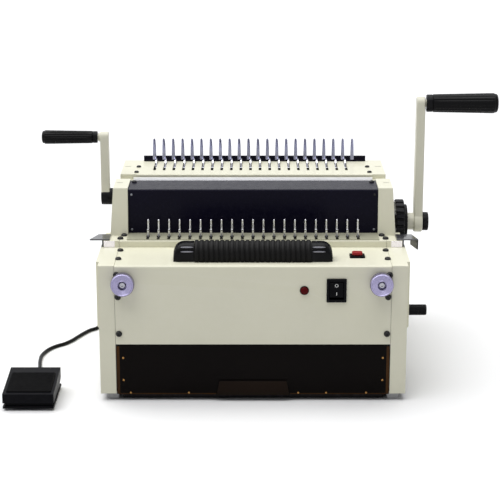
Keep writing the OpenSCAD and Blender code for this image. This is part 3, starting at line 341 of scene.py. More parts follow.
def ellipse(x: float, y: float, half: Pair, count: int) -> np.ndarray:
    """Points of an ellipse: its half widths times cosine and sine, round (x, y)."""
    angle = np.linspace(0, 2 * math.pi, count, endpoint=False)
    return np.stack([x + half[0] * np.cos(angle), y + half[1] * np.sin(angle)], -1)


def rounded(outline: Outline, radius: float, steps: int = 5) -> np.ndarray:
    """Rounds an outline: each corner becomes a parabola from one of its edges to the other.

    Args:
        outline: the corners.
        radius: how far from the corner the parabola starts.
        steps: points to a corner.

    Returns:
        The rounded outline's points.
    """
    corner = np.array(outline, float)
    back, ahead = np.roll(corner, 1, 0) - corner, np.roll(corner, -1, 0) - corner
    back_length = np.linalg.norm(back, axis=1, keepdims=True)
    ahead_length = np.linalg.norm(ahead, axis=1, keepdims=True)
    reach = np.minimum(radius, 0.49 * np.minimum(back_length, ahead_length))
    a = (corner + back / back_length * reach)[:, None]
    b = (corner + ahead / ahead_length * reach)[:, None]
    t = np.linspace(0, 1, steps)[:, None]
    curve = (1 - t) ** 2 * a + 2 * t * (1 - t) * corner[:, None] + t**2 * b
    return curve.reshape(-1, 2)


def smooth_line(points: Sequence[Point], steps: int) -> np.ndarray:
    """Catmull-Rom curve: a cubic from each point to the next, with its neighbours' slope.

    Args:
        points: what the curve passes through.
        steps: points from one of them to the next.

    Returns:
        The curve's points.
    """
    p = np.array([points[0], *points, points[-1]], float)
    a, b, c, d = (p[i : len(p) - 3 + i, None] for i in range(4))
    t = (np.arange(steps) / steps)[:, None]
    curve = 0.5 * (
        2 * b + (c - a) * t + (2 * a - 5 * b + 4 * c - d) * t**2
        + (3 * b - a - 3 * c + d) * t**3
    )
    return np.concatenate([curve.reshape(-1, 3), p[-1:]])


# ---------------------------------------------------------------- finishes

# Sizes of the patterns that all finishes share, and what their materials have in common.
CLOUD_SIZE = 500 / 9  # mm, of the broad light and dark areas
PATCH_SIZE = 100 / 13  # mm, of the patches in gloss, dust and wear
BUMP_STRENGTH = 0.6
RESIN_IOR = 1.49  # paint, acrylic and moulded plastic
DUST_COLOUR = "#b9b4a6"


def linear(hex_colour: str) -> tuple[float, float, float, float]:
    """Turns a hex colour to linear, by the sRGB curve.

    Args:
        hex_colour: sRGB colour, such as #e6e4ce.

    Returns:
        Linear red, green, blue and alpha.
    """
    channels = [int(hex_colour[i : i + 2], 16) / 255 for i in (1, 3, 5)]
    r, g, b = (c / 12.92 if c <= 0.04045 else ((c + 0.055) / 1.055) ** 2.4 for c in channels)
    return (r, g, b, 1.0)


def add_node(
    tree: bpy.types.NodeTree, kind: str, inputs: dict | None = None, **settings: object
) -> bpy.types.Node:
    """Adds a node to a tree, sets its properties, and sets or links its inputs.

    Args:
        tree: the material's node tree.
        kind: the node's type name without its ShaderNode prefix.
        inputs: input names or numbers, each with a value or another node's output.
        **settings: properties of the node.

    Returns:
        The new node.
    """
    node = tree.nodes.new("ShaderNode" + kind)
    for key, value in settings.items():
        setattr(node, key, value)
    for key, value in (inputs or {}).items():
        if isinstance(value, bpy.types.NodeSocket):
            tree.links.new(value, node.inputs[key])
        else:
            node.inputs[key].default_value = value
    return node


@dataclass(frozen=True)
class Finish:
    """A surface: its colour, its gloss and its texture at real size.

    Attributes:
        slot: material slot of the record; not used.
        colour: sRGB hex colour.
        rough: roughness, which varies by rough_range around it.
        metal: 1 for bare metal, less for a metal under a film.
        grain: size of the surface's texture in mm.
        relief: height of that texture in mm.
        stretch: how much the texture is drawn out along X, Y and Z.
        variation: how much the colour's lightness varies.
        rough_range: how much the roughness varies.
        edge_wear_and_highlight: share of the edge colour on outer edges: rubbed wear on the black
            finishes, a painted highlight on the cream ones.
        edge_wear_and_highlight_colour: sRGB hex colour of such an edge.
        dust: share of pale dust in its patches.
        coat: clear coat on top.
        specular: strength of the reflection of a surface that isn't metal.
    """

    slot: str
    colour: str
    rough: float
    metal: float = 0.0
    grain: float = 0.8
    relief: float = 0.01
    stretch: Point = (1.0, 1.0, 1.0)
    variation: float = 0.03
    rough_range: float = 0.05
    edge_wear_and_highlight: float = 0.0
    edge_wear_and_highlight_colour: str = "#d8d8d8"
    dust: float = 0.0
    coat: float = 0.0
    specular: float = 0.5

    def material(self, name: str) -> bpy.types.Material:
        """Builds the material: clouds vary its colour, patches its gloss, grain its relief.

        Args:
            name: the material's name.

        Returns:
            The Blender material.
        """
        material = bpy.data.materials.new(name)
        material.use_nodes = True
        tree = material.node_tree
        tree.nodes.clear()
        place = add_node(tree, "TexCoord").outputs["Object"]
        drawn = add_node(
            tree, "Mapping", {"Vector": place, "Scale": tuple(1 / s for s in self.stretch)}
        ).outputs[0]
        grain = add_node(
            tree, "TexNoise",
            {"Vector": drawn, "Scale": 1 / (self.grain * MILLIMETRE), "Detail": 3.0},
        ).outputs["Fac"]
        clouds = add_node(
            tree, "TexNoise",
            {"Vector": place, "Scale": 1 / (CLOUD_SIZE * MILLIMETRE), "Detail": 4.0,
             "Roughness": 0.6},
        ).outputs["Fac"]
        patches = add_node(
            tree, "TexNoise",
            {"Vector": drawn, "Scale": 1 / (PATCH_SIZE * MILLIMETRE), "Detail": 5.0},
        ).outputs["Fac"]
        rough = add_node(
            tree, "MapRange",
            {"Value": patches, "From Min": 0.3, "From Max": 0.7,
             "To Min": max(0.02, self.rough - self.rough_range),
             "To Max": min(1.0, self.rough + self.rough_range)},
        ).outputs[0]
        bump = add_node(
            tree, "Bump",
            {"Height": grain, "Strength": BUMP_STRENGTH, "Distance": self.relief * MILLIMETRE},
        ).outputs[0]
        shader = add_node(
            tree, "BsdfPrincipled",
            {"Base Color": self.colouring(tree, clouds, patches), "Roughness": rough,
             "Normal": bump, "Metallic": self.metal, "Coat Weight": self.coat,
             "Specular IOR Level": self.specular},
        )
        if self.metal < 0.5:
            shader.inputs["IOR"].default_value = RESIN_IOR
        add_node(tree, "OutputMaterial", {"Surface": shader.outputs[0]})
        return material

    def colouring(
        self,
        tree: bpy.types.NodeTree,
        clouds: bpy.types.NodeSocket,
        patches: bpy.types.NodeSocket,
    ) -> bpy.types.NodeSocket:
        """Colour with its clouds, dust and outer edges, rubbed on the black finishes and painted
        lighter on the cream ones as a highlight.

        Args:
            tree: the material's node tree.
            clouds: the broad pattern.
            patches: the finer pattern.

        Returns:
            The colour's socket.
        """
        base = np.array(linear(self.colour)[:3])
        dark = (*np.clip(base * (1 - self.variation), 0, 1), 1.0)
        light = (*np.clip(base * (1 + self.variation), 0, 1), 1.0)
        share = add_node(
            tree, "MapRange", {"Value": clouds, "From Min": 0.3, "From Max": 0.7}
        ).outputs[0]
        colour = add_node(
            tree, "Mix", {"Factor": share, "A": dark, "B": light}, data_type="RGBA"
        ).outputs["Result"]
        if self.dust:
            share = add_node(
                tree, "MapRange",
                {"Value": patches, "From Min": 0.42, "From Max": 0.75, "To Max": self.dust},
            ).outputs[0]
            colour = add_node(
                tree, "Mix", {"Factor": share, "A": colour, "B": linear(DUST_COLOUR)},
                data_type="RGBA",
            ).outputs["Result"]
        # Outer edges, found by pointiness, take the edge colour in patches: rubbed wear on the
        # black finishes, a painted highlight on the cream ones.
        if self.edge_wear_and_highlight:
            edge = add_node(tree, "NewGeometry").outputs["Pointiness"]
            share = add_node(
                tree, "MapRange",
                {"Value": edge, "From Min": 0.52, "From Max": 0.62, "To Max": self.edge_wear_and_highlight},
            ).outputs[0]
            worn_and_lit = add_node(
                tree, "Math", {0: share, 1: patches}, operation="MULTIPLY"
            ).outputs[0]
            colour = add_node(
                tree, "Mix", {"Factor": worn_and_lit, "A": colour, "B": linear(self.edge_wear_and_highlight_colour)},
                data_type="RGBA",
            ).outputs["Result"]
        return colour


class Skin(Enum):
    """The machine's materials, each with what it is, how it was made and what that shows.

    Grain of real paint and moulded plastic is about 0.1 mm: it is drawn coarser, so that it
    shows.
    """

    # Powder-coated steel sheet: an even, satin cream with a faint orange peel. Its outer edges
    # are painted lighter as a highlight.
    CREAM_POWDER_COAT = Finish(
        "cream_paint", "#e6e4ce", 0.42, grain=1.1, relief=0.012, variation=0.018, coat=0.12,
        edge_wear_and_highlight=0.25, edge_wear_and_highlight_colour="#f2f0e4",
    )
    # Stoved enamel on flat steel bar: greyer and glossier than the covers, less even. Its edges
    # are painted lighter as a highlight.
    CREAM_ENAMEL = Finish(
        "cream_paint", "#dddbc8", 0.4, grain=1.0, relief=0.01, variation=0.03, coat=0.15,
        edge_wear_and_highlight=0.2, edge_wear_and_highlight_colour="#e8e6d8",
    )
    # Powder-coated plate: a duller grey cream that the paper has slid on.
    GREY_POWDER_COAT = Finish(
        "grey_paint", "#a9a893", 0.45, grain=1.0, relief=0.012, variation=0.03,
    )
    # Powder-coated steel sheet: blue-black, with folds rubbed grey.
    BLACK_POWDER_COAT = Finish(
        "black_paint", "#0c0a1c", 0.26, grain=0.9, relief=0.008, variation=0.12, edge_wear_and_highlight=0.25,
        edge_wear_and_highlight_colour="#34343f", specular=0.06,
    )
    # Gloss enamel on thin sheet: black that mirrors its surroundings as pale grey.
    BLACK_GLOSS_ENAMEL = Finish(
        "black_paint", "#0b0b12", 0.2, grain=0.9, relief=0.006, variation=0.1, edge_wear_and_highlight=0.3,
        edge_wear_and_highlight_colour="#5b5b68", coat=0.8, specular=0.4,
    )
    # White ink, pad-printed: flat and matt.
    WHITE_PRINT = Finish("grey_paint", "#e8e8e6", 0.5, variation=0.02)
    # Zinc-plated steel sheet, rolled: pale, with clouds drawn out along the slot.
    ZINC_PLATED_SHEET = Finish(
        "zinc_sheet", "#f8f8fa", 0.35, grain=3.0, relief=0.006, stretch=(8.0, 1.0, 1.0),
        variation=0.05, rough_range=0.1,
    )
    # Tool steel, ground: mid grey with fine lines along the machine.
    GROUND_TOOL_STEEL = Finish(
        "tool_steel", "#7d7f86", 0.38, metal=1.0, grain=0.5, stretch=(9.0, 1.0, 1.0),
        variation=0.08,
    )
    # Steel strip, brushed: a pale satin line with fine strokes.
    BRUSHED_STEEL = Finish(
        "tool_steel", "#ececee", 0.34, metal=0.35, grain=0.6, stretch=(9.0, 1.0, 1.0),
        variation=0.06,
    )
    # Steel rod, drawn: bright, with lines along its length.
    DRAWN_STEEL = Finish(
        "bright_steel", "#dcdce2", 0.2, metal=1.0, grain=0.6, stretch=(1.0, 1.0, 7.0),
        variation=0.05,
    )
    # Steel, nickel-plated and polished: the brightest glints on the machine.
    POLISHED_STEEL = Finish(
        "bright_steel", "#f6f6fa", 0.16, metal=0.7, grain=0.6, stretch=(1.0, 1.0, 7.0),
        variation=0.04,
    )
    # Screw steel, forged and tumbled: grey, with a dull shine in the socket.
    TUMBLED_STEEL = Finish(
        "bright_steel", "#a6a6ac", 0.2, metal=1.0, grain=0.5, variation=0.12,
    )
    # Bright sheet steel, cold-rolled: a bare, mirror-like leaf.
    ROLLED_STEEL = Finish(
        "bright_steel", "#f1edfb", 0.2, metal=0.9, grain=0.8, stretch=(6.0, 1.0, 1.0),
        variation=0.05,
    )
    # Steel, chrome-plated: blue-grey, with strong light and dark streaks along its height that
    # are painted reflections.
    CHROME_PLATED_STEEL = Finish(
        "chrome_finger", "#8f91ac", 0.16, metal=1.0, grain=1.6, relief=0.06,
        stretch=(1.0, 1.0, 5.0), variation=0.3,
    )
    # Steel, turned, knurled and zinc-passivated: a violet cast over satin grey.
    PASSIVATED_STEEL = Finish(
        "knurled_steel", "#9a95b4", 0.24, metal=0.95, grain=0.5, relief=0.008, variation=0.1,
    )
    # Steel, blackened in oil: nearly black, with rubbed grey edges.
    BLACKENED_STEEL = Finish(
        "black_screw", "#060608", 0.26, metal=0.1, variation=0.1, edge_wear_and_highlight=0.5,
        edge_wear_and_highlight_colour="#7c7c7c", specular=0.3,
    )
    # Brass, cut on a hobbing machine: warm and bright.
    CUT_BRASS = Finish("gear_brass", "#c39a4a", 0.3, metal=1.0, variation=0.08)
    # Brass, turned: small dull gold dots against the dark drawer.
    TURNED_BRASS = Finish("screw_brass", "#9a7444", 0.28, metal=1.0, variation=0.06)
    # Bronze, sintered and oiled: dark brown, between metal and stone.
    SINTERED_BRONZE = Finish("bush_bronze", "#2b2620", 0.4, metal=0.6, variation=0.1)
    # Black lacquer, and the painted shade in the dash-shaped slots: matt, with a soft grain that
    # swallows the light.
    MATT_BLACK = Finish("motor_black", "#1b1b1d", 0.5, grain=0.7, relief=0.02)
    # Acrylic sheet, smoked and cast: a deep brown-black with a still, glassy face.
    SMOKED_ACRYLIC = Finish(
        "smoked_acrylic", "#090504", 0.1, grain=30.0, relief=0.01, variation=0.12,
        rough_range=0.03, specular=0.05,
    )
    # The same sheet's sawn edge: light gathers in it and shows its amber.
    ACRYLIC_EDGE = Finish(
        "smoked_acrylic", "#3e2407", 0.2, grain=8.0, relief=0.01, variation=0.4,
        specular=0.1,
    )
    # The same sheet, two thick: a brown just lighter than the drawer's face.
    DOUBLED_ACRYLIC = Finish(
        "smoked_acrylic", "#1c120b", 0.2, grain=20.0, relief=0.01, variation=0.12,
        specular=0.06,
    )
    # Polycarbonate, moulded clear red: dark and wet-looking while the lamp is off.
    RED_POLYCARBONATE = Finish(
        "lamp_red", "#520005", 0.12, grain=2.0, relief=0.01, variation=0.08, coat=0.02,
        specular=0.06,
    )
    # ABS, moulded: an opaque, even red with a soft shine.
    RED_ABS = Finish(
        "button_red", "#960a10", 0.3, grain=0.5, relief=0.006, variation=0.05, coat=0.1,
        specular=0.2,
    )
    # Nylon, moulded: satin black with slightly pale edges.
    BLACK_NYLON = Finish(
        "switch_black", "#040407", 0.34, grain=0.4, relief=0.006, variation=0.1, edge_wear_and_highlight=0.12,
        edge_wear_and_highlight_colour="#3a3a44", specular=0.07,
    )
    # ABS, moulded in a polished tool: glossy black with handled edges. Also painted shade: the
    # pads at the hooks' feet and the strip under the drawer.
    BLACK_ABS = Finish(
        "handle_black", "#040406", 0.26, grain=0.5, relief=0.006, variation=0.1, edge_wear_and_highlight=0.2,
        edge_wear_and_highlight_colour="#4c4c50", specular=0.1,
    )
    # The same ABS in pale grey along two raised lines: painted highlights on the caps' rounded
    # front.
    RUBBED_ABS = Finish(
        "handle_black", "#85858f", 0.3, grain=0.5, variation=0.1, specular=0.4,
    )
    # Phenolic resin, moulded: dense, shiny black whose ribs have worn grey.
    PHENOLIC_RESIN = Finish(
        "grip_black", "#050506", 0.28, grain=0.5, relief=0.012, variation=0.1, edge_wear_and_highlight=0.25,
        edge_wear_and_highlight_colour="#6a6a76", specular=0.1,
    )
    # Rubber, moulded: soft, matt black.
    BLACK_RUBBER = Finish(
        "strap_rubber", "#090808", 0.5, grain=0.5, relief=0.03, variation=0.14,
        specular=0.14,
    )
    # Rubber, moulded grey: matt and a little dusty.
    GREY_RUBBER = Finish(
        "foot_grey", "#b9b9bb", 0.7, grain=0.5, relief=0.03, variation=0.06, dust=0.1,
    )
    # Rubber sheet, calendered: the dullest black, with a coarse grain.
    SHEET_RUBBER = Finish(
        "pedal_rubber", "#060607", 0.6, grain=0.9, relief=0.05, variation=0.14,
        specular=0.05,
    )
    # ABS, moulded in a spark-eroded tool: black with a fine leathery grain.
    GRAINED_ABS = Finish(
        "pedal_black", "#040407", 0.4, grain=0.6, relief=0.03, variation=0.1, edge_wear_and_highlight=0.2,
        edge_wear_and_highlight_colour="#45454c", specular=0.05,
    )
    # PVC, extruded: a supple black with a long, soft highlight.
    BLACK_PVC = Finish(
        "cord_pvc", "#09090b", 0.38, grain=1.2, relief=0.02, variation=0.08, specular=0.12,
    )
    # Glass-fibre board under solder mask: green with a faint weave.
    SOLDER_MASK = Finish("board_green", "#1d5a34", 0.4, grain=2.0, relief=0.01)


@dataclass
class Workshop:
    """Turns forms and CAD nodes into finished pieces that ride on their bodies.

    Attributes:
        frame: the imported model.
        materials: Blender's materials, one for each skin in use.
        finished: CAD nodes that a piece stands for.
        pieces: the pieces made so far.
    """

    frame: dict
    materials: dict[Skin, bpy.types.Material] = field(default_factory=dict)
    finished: set[str] = field(default_factory=set)
    pieces: list[bpy.types.Object] = field(default_factory=list)

    def __post_init__(self) -> None:
        """Notes which body carries each CAD node."""
        bodies = self.frame["record"]["behaviour"]["bodies"]
        self.body_of = {node: body for body, nodes in bodies.items() for node in nodes}

    def clothe(self, mesh: bpy.types.Mesh, skin: Skin) -> None:
        """Gives a mesh its material, made once.

        Args:
            mesh: the piece's mesh.
            skin: its material.
        """
        if skin not in self.materials:
            self.materials[skin] = skin.value.material(skin.name.lower())
        mesh.materials.clear()
        mesh.materials.append(self.materials[skin])

    def hand_over(
        self, piece: bpy.types.Object, skin: Skin, body: str, replaces: Sequence[str]
    ) -> bpy.types.Object:
        """Puts a piece in the scene with its material, its body and what it stands for.

        Args:
            piece: the Blender object.
            skin: its material.
            body: the CAD body that carries it.
            replaces: CAD nodes that it stands for.

        Returns:
            The same object.
        """
        bpy.context.scene.collection.objects.link(piece)
        self.clothe(piece.data, skin)
        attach(piece, body)
        if replaces:
            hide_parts(*replaces)
            self.finished.update(replaces)
        self.pieces.append(piece)
        return piece

    def piece(
        self,
        name: str,
        form: Form,
        skin: Skin,
        body: str = "chassis",
        replaces: Sequence[str] = (),
        bevel: float = 0.0,
        smooth: float = 35.0,
    ) -> bpy.types.Object:
        """Makes a finished piece from a form.

        Args:
            name: the piece's name.
            form: its shape.
            skin: its material.
            body: the CAD body that carries it.
            replaces: CAD nodes that it stands for.
            bevel: width in mm of the rounding on its edges.
            smooth: largest angle in degrees that is shaded smooth.

        Returns:
            The Blender object.
        """
        mesh = form.mesh(name)
        mesh.shade_smooth()
        mesh.set_sharp_from_angle(angle=math.radians(smooth))
        piece = bpy.data.objects.new(name, mesh)
        if bevel:
            edge = piece.modifiers.new("rounding", "BEVEL")
            edge.width = bevel * MILLIMETRE
            edge.segments = 3
            edge.limit_method = "ANGLE"
            edge.angle_limit = math.radians(38)
            edge.harden_normals = True
        return self.hand_over(piece, skin, body, replaces)

    @staticmethod
    def round_edges(
        bm: bmesh.types.BMesh, edges: list[bmesh.types.BMEdge], radius: float, steps: int
    ) -> None:
        """Rounds edges of a mesh.

        Args:
            bm: the mesh.
            edges: the edges to round.
            radius: width of the rounding in mm.
            steps: faces across it.
        """
        bmesh.ops.bevel(
            bm, geom=edges, offset=radius * MILLIMETRE, segments=steps, profile=0.5,
            affect="EDGES", clamp_overlap=True,
        )

    def dress(
        self, node: str, skin: Skin, bevel: float = 0.5, bends: Sequence[Point] = ()
    ) -> bpy.types.Object:
        """Makes a finished piece from a CAD node: faces merged, folds and edges rounded.

        Args:
            node: the CAD node, of which a copy is used.
            skin: its material.
            bevel: width in mm of the rounding of its outer edges.
            bends: (y, z, radius) of the folds along X, in mm in the machine's frame.

        Returns:
            The Blender object.
        """
        name = node + "_finished"
        mesh = self.frame["nodes"][node].data.copy()
        mesh.name = name
        bm = bmesh.new()
        bm.from_mesh(mesh)
        bmesh.ops.remove_doubles(bm, verts=bm.verts, dist=MERGE_GAP * MILLIMETRE)
        bmesh.ops.dissolve_limit(
            bm, angle_limit=math.radians(FLAT_ANGLE), verts=bm.verts, edges=bm.edges
        )
        for y, z, radius in bends:
            line = Vector(to_frame((0.0, y, z)))
            fold = [
                e for e in bm.edges
                if all((v.co - line).yz.length < FOLD_GAP * MILLIMETRE for v in e.verts)
            ]
            self.round_edges(bm, fold, radius, 5)
        sharp = [
            e for e in bm.edges
            if len(e.link_faces) == 2 and e.is_convex
            and e.calc_face_angle(0) > math.radians(EDGE_ANGLE)
        ]
        self.round_edges(bm, sharp, bevel, 2)
        bm.to_mesh(mesh)
        bm.free()
        mesh.shade_smooth()
        mesh.set_sharp_from_angle(angle=math.radians(40))
        piece = bpy.data.objects.new(name, mesh)
        piece.modifiers.new("even_shading", "WEIGHTED_NORMAL").keep_sharp = True
        return self.hand_over(piece, skin, self.body_of[node], [node])

    def paint_rest(self, skins: dict[str, Skin]) -> None:
        """Gives every CAD node that stays its material.

        Args:
            skins: the material of each such node.
        """
        for node, skin in skins.items():
            if node not in self.finished:
                self.clothe(self.frame["nodes"][node].data, skin)


# ---------------------------------------------------------------- camera, floor and light


@dataclass(frozen=True)
class Studio:
    """Camera in front of the machine and above it, plain floor and soft light.

    Attributes:
        place: the camera's place in mm in the machine's frame.
        down: how far it looks down, in degrees.
        lens: its focal length in mm, on a sensor 36 mm wide.
        shift: sideways shift of its frame.
        ambient: strength of the surroundings as light.
        sky: linear colour of the surroundings.
        power: strength of the overhead light.
        softness: how wide that light is, in degrees.
        falls: the direction that it shines in.
        floor_half: half the floor's width in m.
        floor_lit: colour by which the floor gives light back.
        floor_seen: colour in which it is seen.
    """

    place: Point = (0.0, -2024.0, 769.0)
    down: float = 15.5
    lens: float = 116.8
    shift: float = -0.006
    ambient: float = 0.24
    sky: tuple[float, float, float, float] = (0.97, 0.98, 1.0, 1.0)
    power: float = 3.15
    softness: float = 75.0
    falls: Point = (0.24, -0.04, -1.0)
    floor_half: float = 14.0
    floor_lit: str = "#cecece"
    floor_seen: str = "#fafafb"

    def camera(self) -> None:
        """Makes the camera."""
        data = bpy.data.cameras.new("camera")
        data.lens, data.sensor_width, data.shift_x = self.lens, 36.0, self.shift
        data.clip_end = 60.0
        camera = bpy.data.objects.new("camera", data)
        camera.location = to_frame(self.place)
        camera.rotation_euler = (math.radians(90 - self.down), 0.0, 0.0)
        bpy.context.scene.collection.objects.link(camera)
        bpy.context.scene.camera = camera

    @staticmethod
    def seen(tree: bpy.types.NodeTree) -> bpy.types.NodeSocket:
        """1 for rays of the camera, of reflections and through glass, 0 for lighting rays.

        Args:
            tree: the node tree that gets the nodes.

        Returns:
            The value's socket.
        """
        path = add_node(tree, "LightPath").outputs
        direct = add_node(
            tree, "Math", {0: path["Is Camera Ray"], 1: path["Is Glossy Ray"]},
            operation="MAXIMUM",
        ).outputs[0]
        return add_node(
            tree, "Math", {0: direct, 1: path["Is Transmission Ray"]}, operation="MAXIMUM"
        ).outputs[0]

    def surroundings(self) -> None:
        """Makes the world: white where it is seen, dimmer as light."""
        world = bpy.data.worlds.new("studio")
        world.use_nodes = True
        tree = world.node_tree
        level = add_node(
            tree, "MapRange", {"Value": self.seen(tree), "To Min": self.ambient, "To Max": 1.0}
        ).outputs[0]
        background = tree.nodes["Background"].inputs
        tree.links.new(level, background["Strength"])
        background["Color"].default_value = self.sky
        bpy.context.scene.world = world

    def floor(self) -> None:
        """Makes the floor: nearly white where it is seen, greyer as light."""
        half = self.floor_half
        corners = [(x, y, 0.0) for x, y in rectangle(-half, -half, half, half)]
        mesh = bpy.data.meshes.new("floor")
        mesh.from_pydata(corners, [], [(0, 1, 2, 3)])
        material = bpy.data.materials.new("floor")
        material.use_nodes = True
        tree = material.node_tree
        colour = add_node(
            tree, "Mix",
            {"Factor": self.seen(tree), "A": linear(self.floor_lit),
             "B": linear(self.floor_seen)},
            data_type="RGBA",
        ).outputs["Result"]
        shader = tree.nodes["Principled BSDF"]
        tree.links.new(colour, shader.inputs["Base Color"])
        shader.inputs["Roughness"].default_value = 0.8
        mesh.materials.append(material)
        floor = bpy.data.objects.new("floor", mesh)
        bpy.context.scene.collection.objects.link(floor)

    def light(self) -> None:
        """Adds the surroundings, the floor and the soft overhead light."""
        bpy.context.scene.view_settings.view_transform = "Standard"
        self.surroundings()
        self.floor()
        data = bpy.data.lights.new("overhead", "SUN")
        data.energy, data.angle = self.power, math.radians(self.softness)
        lamp = bpy.data.objects.new("overhead", data)
        lamp.rotation_mode = "QUATERNION"
        lamp.rotation_quaternion = Vector(self.falls).to_track_quat("-Z", "Y")
        bpy.context.scene.collection.objects.link(lamp)


# ---------------------------------------------------------------- cord


@dataclass(frozen=True)
class PedalCord:
    """Lead from the machine's back, wound into a coil there, and on to the pedal.

    Attributes:
        diameter: of the cord.
        coil: middle of the coil.
        radii: of its outer, middle and inner turns.
        turns: how often the cord goes round.
        crossing: degrees from the coil's rear point to where a turn first steps inwards.
        width: degrees that such a step takes.
        lead: points from the gland to the coil.
        run: points from the coil to the pedal.
    """

    diameter: float = 5.2
    coil: Pair = (-60.0, 470.0)
    radii: tuple[float, float, float] = (35.2, 30.0, 24.8)
    turns: float = 5.5
    crossing: float = 280.0
    width: float = 50.0
    lead: tuple[Point, ...] = (
        (-150, 426, 40), (-150, 437, 39.4), (-150, 447, 35), (-149, 455, 26), (-147, 461, 15),
        (-143, 467, 6), (-137, 475, 2.8), (-128, 485, 2.6), (-115, 495, 2.6), (-100, 501, 2.6),
        (-88, 503.6, 2.6), (-76, 504.8, 2.6),
    )
    run: tuple[Point, ...] = (
        (-68, 434.9, 7.2), (-76, 435.1, 6.2), (-88, 435.5, 4.0), (-102, 435.4, 2.7),
        (-122, 433.6, 2.6), (-145, 430, 2.6), (-172, 421, 2.6), (-197, 405, 2.6),
        (-215, 380, 2.6), (-224, 352, 2.6), (-229, 325, 2.6), (-235, 300, 2.6),
        (-244, 290, 2.6), (-252, 275, 2.6), (-259, 259, 2.6), (-266, 242, 2.6),
        (-275, 227, 2.6), (-286, 216, 2.6), (-294, 204, 2.6), (-299.5, 189, 2.6),
        (-302.5, 171, 2.6), (-301.5, 147, 2.6), (-299, 126, 2.6), (-298, 104, 2.6),
        (-298, 88, 2.8), (-298, 76, 4.6), (-298, 66, 7.8), (-298, 59, 9), (-298, 52, 9),
    )

    def step(self, turned: np.ndarray, start: float) -> np.ndarray:
        """Goes smoothly from 0 to 1 over one step's width: 3 t squared less 2 t cubed.

        Args:
            turned: angles in degrees.
            start: the angle at which the step starts.

        Returns:
            The share of the step taken at each angle.
        """
        t = np.clip((turned - start) / self.width, 0, 1)
        return t * t * (3 - 2 * t)

    def wound(self, turned: np.ndarray) -> np.ndarray:
        """Points of the coil, which steps inwards below, climbs, and steps out again above.

        Args:
            turned: angles, clockwise seen from above, from the coil's rear point.

        Returns:
            Array of points, in two layers, in mm.
        """
        outer, middle, inner = self.radii
        first = self.crossing
        radius = (
            outer
            + (middle - outer) * self.step(turned, first)
            + (inner - middle) * self.step(turned, first + 360)
            + (middle - inner) * self.step(turned, first + 3 * 360 - 2 * self.width)
            + (outer - middle) * self.step(turned, first + 4 * 360 - 2 * self.width)
        )
        climb = self.step(turned, first + 2 * 360 - self.width)
        height = self.diameter / 2 + self.diameter * climb
        angle = np.radians(90 - turned)
        x, y = self.coil
        return np.stack([x + radius * np.cos(angle), y + radius * np.sin(angle), height], -1)

    def build(self, shop: Workshop) -> None:
        """Args:
            shop: the workshop.
        """
        wound = self.wound(np.arange(0, 360 * self.turns + 0.1, 9.0))
        path = np.concatenate([
            smooth_line([*self.lead, tuple(wound[0])], 4)[:-1],
            wound,
            smooth_line([tuple(wound[-1]), *self.run], 4)[1:],
        ])
        path[:, 2] = np.maximum(path[:, 2], self.diameter / 2)
        cord = shop.piece(
            "pedal_cord", Form().tube(path, self.diameter / 2, 14), Skin.BLACK_PVC,
            replaces=["cord_tube", "cord_coil"], smooth=60,
        )
        tie = self.tie(shop)
        gland = self.gland(shop)
        tuple(to_frame(path[0]))
        to_frame(path).tolist()

    def tie(self, shop: Workshop) -> bpy.types.Object:
        """Band round the coil's turns: a rounded loop, carried along Y and back outside.

        Args:
            shop: the workshop.

        Returns:
            The tie.
        """
        x, y = self.coil
        outer, middle, inner = self.radii
        half = (outer - inner + self.diameter) / 2 + 0.5
        low, high, mid_height, clear = 0.2, 10.9, 5.5, 0.05
        thick, half_band = 0.7, 4.0
        a, b = rounded(rectangle(-half, low, half, high), 3.0, 6).T
        layers = []
        for grow, along in ((0.0, -1), (thick, -1), (thick, 1), (0.0, 1)):
            across = x - middle + a * (1 + grow / half)
            up = mid_height + (b - mid_height) * (1 + grow / (high - mid_height))
            loop = np.stack([across, np.maximum(clear, up)], -1)
            layers.append((loop, y + along * half_band))
        form = Form().layers(Axis.Y, layers, Ends.JOINED)
        return shop.piece("cord_tie", form, Skin.PHENOLIC_RESIN)

    def gland(self, shop: Workshop) -> bpy.types.Object:
        """Ribbed strain relief, turned in one with its flange, where the cord leaves.

        Args:
            shop: the workshop.

        Returns:
            The strain relief.
        """
        profile = [(5.8, 392.0), (5.8, 400.0), (8.0, 400.0), (8.0, 404.2), (7.2, 405.0),
                   (6.1, 405.2)]
        for rib in range(6):
            y = 406.5 + rib * 3.2
            r = 6.0 - rib * 0.32
            profile += [(r, y), (r, y + 1.7), (r - 0.9, y + 1.9), (r - 0.9, y + 3.0)]
        profile += [(3.9, 425.8), (3.0, 426.0)]
        x, _, z = self.lead[0]
        return shop.piece(
            "strain_relief", Form().lathe(Axis.Y, (x, 0.0, z), profile, 32), Skin.BLACK_PVC,
            replaces=["cord_gland"],
        )


# ---------------------------------------------------------------- sub-assemblies

# Diameter and height in mm of the cover screws' heads.
LARGE_HEAD: Pair = (8.4, 3.0)
SMALL_HEAD: Pair = (7.0, 2.4)


